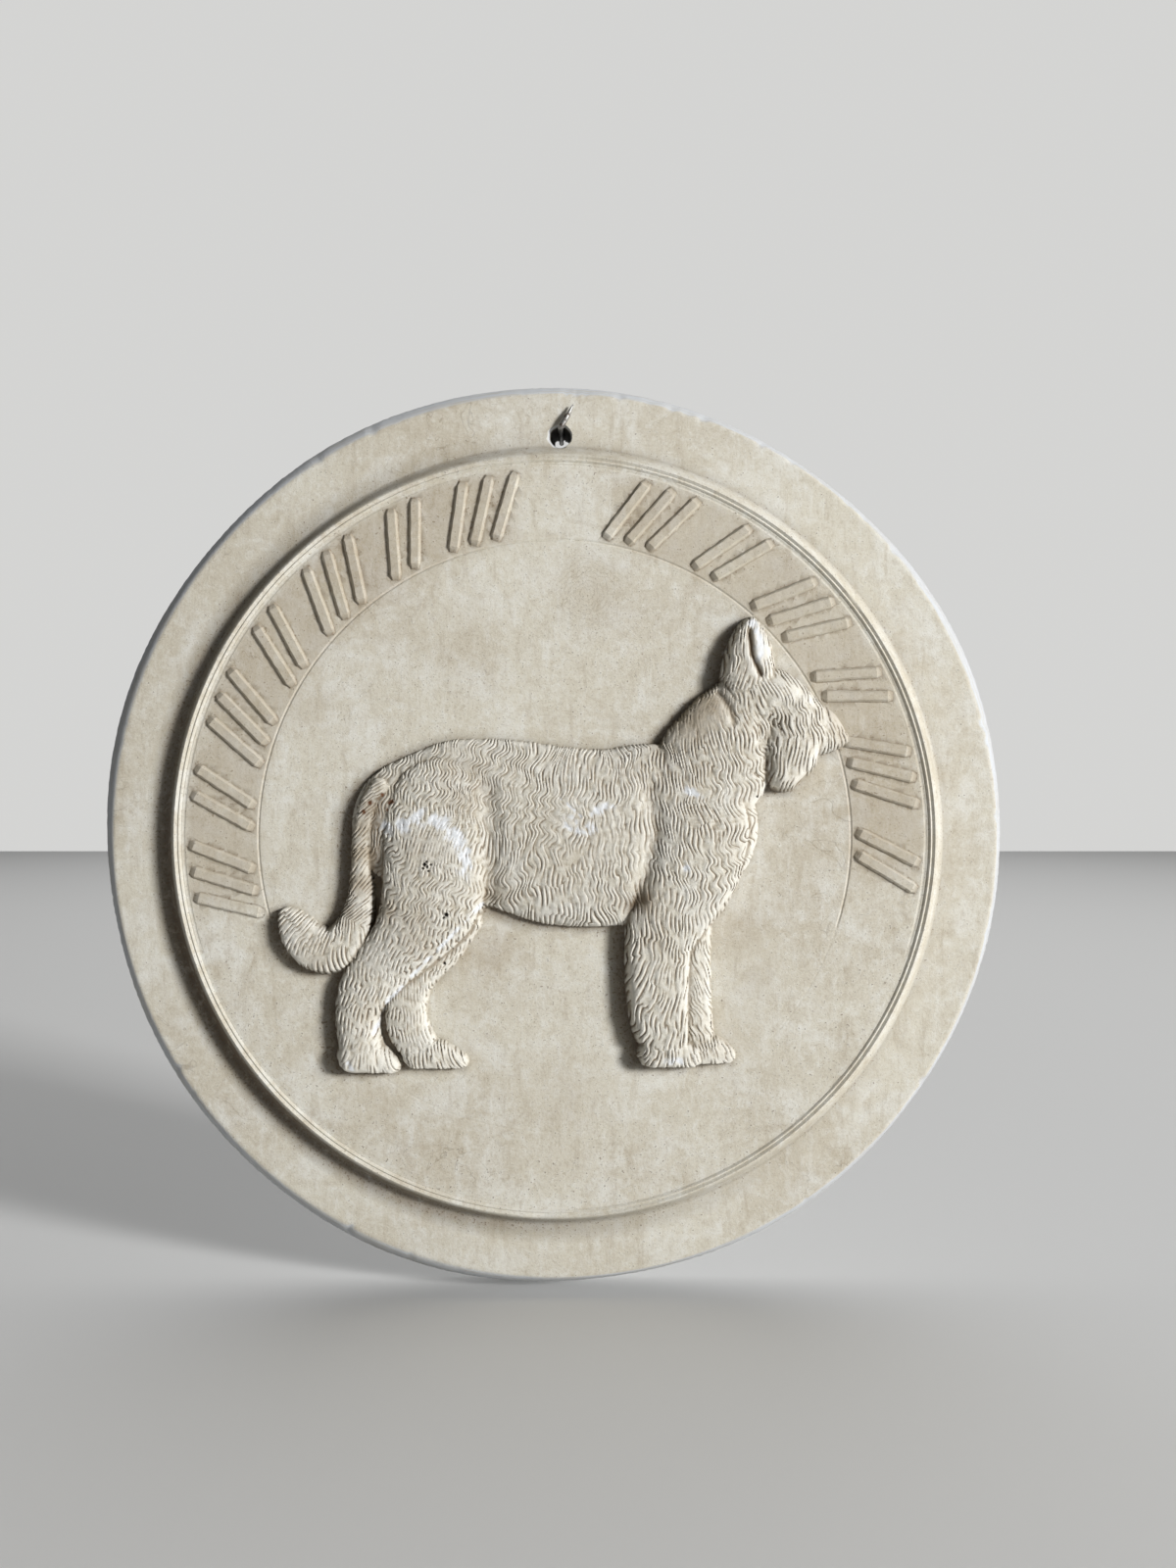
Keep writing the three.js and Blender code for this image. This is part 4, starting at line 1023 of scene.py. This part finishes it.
def plaster_material():
    """Sealed plaster: cream with tan and pale, speckled, brown in hollows, white where rubbed, with painted
    shade, shadow and highlight.
    """
    material, nodes, links, shader, place = new_material("plaster")
    noise = partial(add_noise, nodes, links, place)
    ranged = partial(add_range, nodes, links)
    over = partial(add_mix, nodes, links)
    times = partial(add_math, nodes, links, "MULTIPLY")
    plus = partial(add_math, nodes, links, "ADD")

    def size_of(value):
        return add_math(nodes, links, "ABSOLUTE", value, 0.0)

    def ridges(turns):
        return size_of(add_math(nodes, links, "SINE", turns, 0.0))

    groove, crest, dirt_and_shade, tint = (add_layer(nodes, name) for name in ("groove", "crest", "dirt_and_shade", "tint"))
    clouds = noise(15, 6, 0.62)
    patches = noise(70, 8, 0.7, 0.5)
    smears = noise(34, 9, 0.7, 1.4)
    mottle = noise(300, 5, 0.65, 0.4)
    grain = noise(1100, 4, 0.7)
    speckle = noise(1100, 2, 0.5)
    pores = noise(1900, 1, 0.5)
    # The seal: clouds, patches, smears, brush marks, pores and grain
    colour = over(CREAM, ranged(clouds, 0.36, 0.66, 0.6), TAN)
    colour = over(colour, ranged(patches, 0.44, 0.68, 0.55), PALE)
    colour = over(colour, ranged(mottle, 0.49, 0.7, 0.4), PALE)
    colour = over(colour, ranged(mottle, 0.5, 0.28, 0.26), STAIN)
    colour = over(colour, ranged(smears, 0.54, 0.76, 0.5), STAIN)
    brushed = noise(1.0, 6, 0.65, 0.3, stretch=(330, 330, 60))
    colour = over(colour, ranged(brushed, 0.52, 0.74, 0.35), STAIN)
    colour = over(colour, ranged(brushed, 0.48, 0.26, 0.4), PALE)
    colour = over(colour, ranged(pores, 0.67, 0.76, 0.55), GROOVE_DIRT)
    colour = over(colour, ranged(grain, 0.5, 0.75, 0.4), PALE)
    colour = over(colour, ranged(grain, 0.5, 0.25, 0.4), STAIN)
    # Painted shade, painted shadow and dirt with their dots, the scribble on the field and hairline scratches
    colour = over(colour, times(dirt_and_shade, ranged(mottle, 0.0, 0.55, 0.95)), CONTACT_DIRT_AND_SHADE)
    dots = plus(speckle, times(dirt_and_shade, 0.16))
    colour = over(colour, ranged(dots, 0.66, 0.74, 0.7), GROOVE_DIRT)
    scribble = add_layer(nodes, "scribble")
    loops = ridges(plus(times(scribble, 2.1), times(smears, 26.0)))
    colour = over(colour, times(ranged(loops, 0.2, 0.04, 0.5), ranged(scribble, 15, 8)), GROOVE_DIRT)
    hairs = size_of(plus(noise(55, 3, 0.5, 0.8), -0.5))
    colour = over(colour, times(ranged(hairs, 0.006, 0.001, 0.3), ranged(clouds, 0.5, 0.6)), GROOVE_DIRT)
    # The coat: pale on its strands' tops, partly a painted highlight, brown in the grooves, and brown where
    # it is stained or where shade is painted
    strand, combing = add_layer(nodes, "strand"), add_layer(nodes, "combing")
    strand_ridge = ridges(times(strand, math.pi))
    hair_ridge = ridges(plus(times(strand, 2 * math.pi), times(mottle, 5.0)))
    # Ridge tops lighter: partly rubbed plaster, partly a painted highlight
    colour = over(colour, times(crest, 0.6), CREST_HIGHLIGHT_AND_RUB)
    # Brown tint of stains, and of painted shade on the coat
    colour = over(colour, times(tint, ranged(patches, 0.1, 0.6, 0.62)), STAIN)
    colour = over(colour, times(groove, 0.55), GROOVE_DIRT)
    colour = over(colour, times(ranged(hair_ridge, 0.5, 0.1, 0.22), combing), GROOVE_DIRT)
    colour = over(colour, times(ranged(strand_ridge, 0.5, 0.12, 0.7), combing), GROOVE_DIRT)
    # Raw, rubbed, rusted and pitted places, a painted highlight on a lit edge, and painted shade inside the
    # bore
    streaks = noise(1.0, 5, 0.6, stretch=(60, 1400, 60))
    raw_tone = over(RAW_PLASTER, ranged(streaks, 0.4, 0.7, 0.5), TAN)
    colour = over(colour, add_layer(nodes, "raw"), raw_tone)
    # White where rubbed, and a painted highlight on the hind leg's lit edge
    colour = over(colour, times(add_layer(nodes, "worn_and_highlit"), 0.8), WORN_PLASTER_AND_HIGHLIGHT)
    colour = over(colour, add_layer(nodes, "rust"), RUST)
    # Casting pits, and the painted shade inside the bore, are near black
    colour = over(colour, add_layer(nodes, "pit"), PIT_AND_BORE_SHADE_BLACK)
    links.new(colour, shader.inputs["Base Color"])
    links.new(ranged(patches, 0.3, 0.7, 0.9, 0.68), shader.inputs["Roughness"])
    shader.inputs["Specular IOR Level"].default_value = 0.3
    bump = nodes.new("ShaderNodeBump")
    bump.inputs["Strength"].default_value = 0.5
    bump.inputs["Distance"].default_value = 0.0003
    furrows = times(plus(strand_ridge, times(hair_ridge, 0.4)), times(combing, 0.6))
    links.new(plus(furrows, plus(times(patches, 0.5), grain)), bump.inputs["Height"])
    links.new(bump.outputs["Normal"], shader.inputs["Normal"])
    return material


plaque.data.materials.clear()
plaque.data.materials.append(plaster_material())
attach(plaque, "root")
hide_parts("plaque")

# The hanging hook: a bent iron spike through the top of the hole, turned up in front of the rim. It is
# forged, and rubbed to grey metal with rust in its pores. It is driven into the wall, and cut off flat there.
HOOK_RADIUS = 0.8
HOOK_SPIKE_RADIUS = 1.1
HOOK_TIP_RADIUS = 0.2
HOOK_RISE = 7.6
HOOK_LEAN = 4.2
HOOK_BEND = 1.2
HOOK_BOW = 0.4
HOOK_GAP = 0.3
HOOK_STEPS = 60
HOOK_SIDES = 20
BORE_RADIUS = 3.5
RUBBED_IRON = (0.36, 0.355, 0.34)
IRON_RUST = (0.10, 0.065, 0.045)


def hook_object():
    """The hook as a round section carried along a smooth path through its stops, with the radius of each."""
    front = RIM_THICKNESS + HOOK_GAP + HOOK_SPIKE_RADIUS
    # Each stop: share of the lean, share of the rise, distance from the wall, radius
    stops = np.array([
        (0, 0, 0, HOOK_RADIUS), (0, 0, front / 2, HOOK_RADIUS), (0, 0, front - 2 * HOOK_BEND, HOOK_RADIUS),
        (0, 0, front - HOOK_BEND, HOOK_RADIUS), (0.1, 0.1, front, HOOK_SPIKE_RADIUS),
        (0.55, 0.5, front + HOOK_BOW, 0.8 * HOOK_SPIKE_RADIUS), (1, 1, front, HOOK_TIP_RADIUS)])
    shank = HOLE_Z + BORE_RADIUS - HOOK_GAP - HOOK_RADIUS
    stops[:, 0] = HOLE_X + stops[:, 0] * HOOK_LEAN
    stops[:, 1] = shank + stops[:, 1] * HOOK_RISE
    place = np.linspace(0, len(stops) - 1, HOOK_STEPS)
    path = smooth_through(stops, place)
    radius = np.interp(place, np.arange(len(stops)), stops[:, 3])[:, None, None]
    forward = np.gradient(path[:, :3], axis=0)
    forward /= np.linalg.norm(forward, axis=1, keepdims=True)
    aside = np.cross(forward, np.array([-HOOK_RISE, HOOK_LEAN, 0.0]))
    aside /= np.linalg.norm(aside, axis=1, keepdims=True)
    over = np.cross(aside, forward)
    turn = (2 * np.pi * np.arange(HOOK_SIDES) / HOOK_SIDES)[None, :, None]
    dents = 1 + chance.normal(0, 0.02, (HOOK_STEPS, HOOK_SIDES, 1))
    tube = path[:, None, :3] + radius * dents * (np.cos(turn) * aside[:, None] + np.sin(turn) * over[:, None])
    tube = tube.reshape(-1, 3)
    hubs = path[[0, -1], :3]
    points = np.concatenate([tube, hubs])
    rings = HOOK_SIDES * np.arange(HOOK_STEPS)
    pairs = zip(rings[:-1], rings[1:])
    quads = np.concatenate([band_faces(first, second, HOOK_SIDES) for first, second in pairs])
    point = np.arange(HOOK_SIDES)
    other = (point + 1) % HOOK_SIDES
    back = np.stack([np.full(HOOK_SIDES, len(tube)), other, point], axis=1)
    tip = np.stack([rings[-1] + point, rings[-1] + other, np.full(HOOK_SIDES, len(tube) + 1)], axis=1)
    return new_object("hanging_hook_iron", placed(points[:, 0], points[:, 2], points[:, 1]), quads, back, tip)


def iron_material():
    """Rubbed forged iron: grey metal with brown rust in patches, and finer grain in the bump."""
    material, nodes, links, shader, place = new_material("iron")
    patches = add_noise(nodes, links, place, 700, 5, 0.6)
    grain = add_noise(nodes, links, place, 4200, 3, 0.6)
    rusted = add_range(nodes, links, patches, 0.52, 0.68)
    colour = add_mix(nodes, links, RUBBED_IRON, rusted, IRON_RUST)
    links.new(colour, shader.inputs["Base Color"])
    links.new(add_range(nodes, links, patches, 0.4, 0.7, 0.75, 0.35), shader.inputs["Roughness"])
    shader.inputs["Metallic"].default_value = 0.8
    bump = nodes.new("ShaderNodeBump")
    bump.inputs["Strength"].default_value = 0.4
    bump.inputs["Distance"].default_value = 0.0001
    links.new(grain, bump.inputs["Height"])
    links.new(bump.outputs["Normal"], shader.inputs["Normal"])
    return material


hook = hook_object()
hook.data.shade_smooth()
hook.data.materials.append(iron_material())
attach(hook, "root")
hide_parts("hanging_hook")

# The studio: a plain pale floor, one soft light low at the right as in the photograph, another over the floor
# behind the plaque, a weak even fill, and a camera square to the face at arm's length.
FLOOR_HEIGHT = -0.1535
FLOOR_SIZE = 6.0
FLOOR_TONE = (0.72, 0.72, 0.71, 1.0)
LIGHT_HEADING = (0.78, -0.60, 0.21)
LIGHT_DISTANCE = 3.6
LIGHT_SIZE = 0.6
LIGHT_POWER = 164.0
FLOOR_LIGHT_PLACE = (0.0, 1.7, 2.0)
FLOOR_LIGHT_TARGET = (0.0, 1.7, 0.0)
FLOOR_LIGHT_SIZE = 3.4
FLOOR_LIGHT_POWER = 46.0
FILL_TONE = (0.80, 0.84, 0.90, 1.0)
FILL_STRENGTH = 0.02
BACKDROP_TONE = (0.66, 0.66, 0.65, 1.0)
CAMERA_PLACE = (0.01095, -0.475, 0.01707)
VIEW_HEIGHT = 0.5152
VIEW_DISTANCE = 0.450
SENSOR = 36.0


def area_light(name, place, target, size, power):
    """A square soft light at a place, turned to a target."""
    data = bpy.data.lights.new(name, "AREA")
    data.shape = "SQUARE"
    data.size = size
    data.energy = power
    light = bpy.data.objects.new(name, data)
    bpy.context.scene.collection.objects.link(light)
    light.location = place
    heading = np.array(target, float) - np.array(place, float)
    heading /= np.linalg.norm(heading)
    yaw = math.atan2(heading[0], -heading[1])
    tilt = math.acos(-heading[2])
    light.rotation_euler = (tilt, 0.0, yaw + math.pi)
    return light


half_floor = FLOOR_SIZE / 2
floor_corners = np.array([(-1, -1), (1, -1), (1, 1), (-1, 1)]) * half_floor
floor_points = np.column_stack([floor_corners, np.full(4, FLOOR_HEIGHT)])
floor = new_object("floor", floor_points, np.array([[0, 1, 2, 3]]))
floor_paper, _, _, floor_shader, _ = new_material("floor_paper")
floor_shader.inputs["Base Color"].default_value = FLOOR_TONE
floor_shader.inputs["Roughness"].default_value = 0.9
floor.data.materials.append(floor_paper)

heading = np.array(LIGHT_HEADING) / np.linalg.norm(LIGHT_HEADING)
area_light("key_light", tuple(heading * LIGHT_DISTANCE), (0.0, 0.0, 0.0), LIGHT_SIZE, LIGHT_POWER)
area_light("floor_light", FLOOR_LIGHT_PLACE, FLOOR_LIGHT_TARGET, FLOOR_LIGHT_SIZE, FLOOR_LIGHT_POWER)

world = bpy.data.worlds.new("studio")
bpy.context.scene.world = world
world.use_nodes = True
world_nodes, world_links = world.node_tree.nodes, world.node_tree.links
fill = world_nodes["Background"]
fill.inputs["Color"].default_value = FILL_TONE
fill.inputs["Strength"].default_value = FILL_STRENGTH
backdrop = world_nodes.new("ShaderNodeBackground")
backdrop.inputs["Color"].default_value = BACKDROP_TONE
seen = world_nodes.new("ShaderNodeMixShader")
world_links.new(world_nodes.new("ShaderNodeLightPath").outputs["Is Camera Ray"], seen.inputs[0])
world_links.new(fill.outputs["Background"], seen.inputs[1])
world_links.new(backdrop.outputs["Background"], seen.inputs[2])
world_links.new(seen.outputs["Shader"], world_nodes["World Output"].inputs["Surface"])
bpy.context.scene.view_settings.view_transform = "Standard"

camera_data = bpy.data.cameras.new("camera")
camera_data.sensor_fit = "VERTICAL"
camera_data.sensor_height = SENSOR
camera_data.lens = SENSOR * VIEW_DISTANCE / VIEW_HEIGHT
camera_data.clip_start = 0.01
camera = bpy.data.objects.new("camera", camera_data)
bpy.context.scene.collection.objects.link(camera)
camera.location = CAMERA_PLACE
camera.rotation_euler = (math.pi / 2, 0.0, 0.0)
bpy.context.scene.camera = camera

bpy.context.view_layer.update()
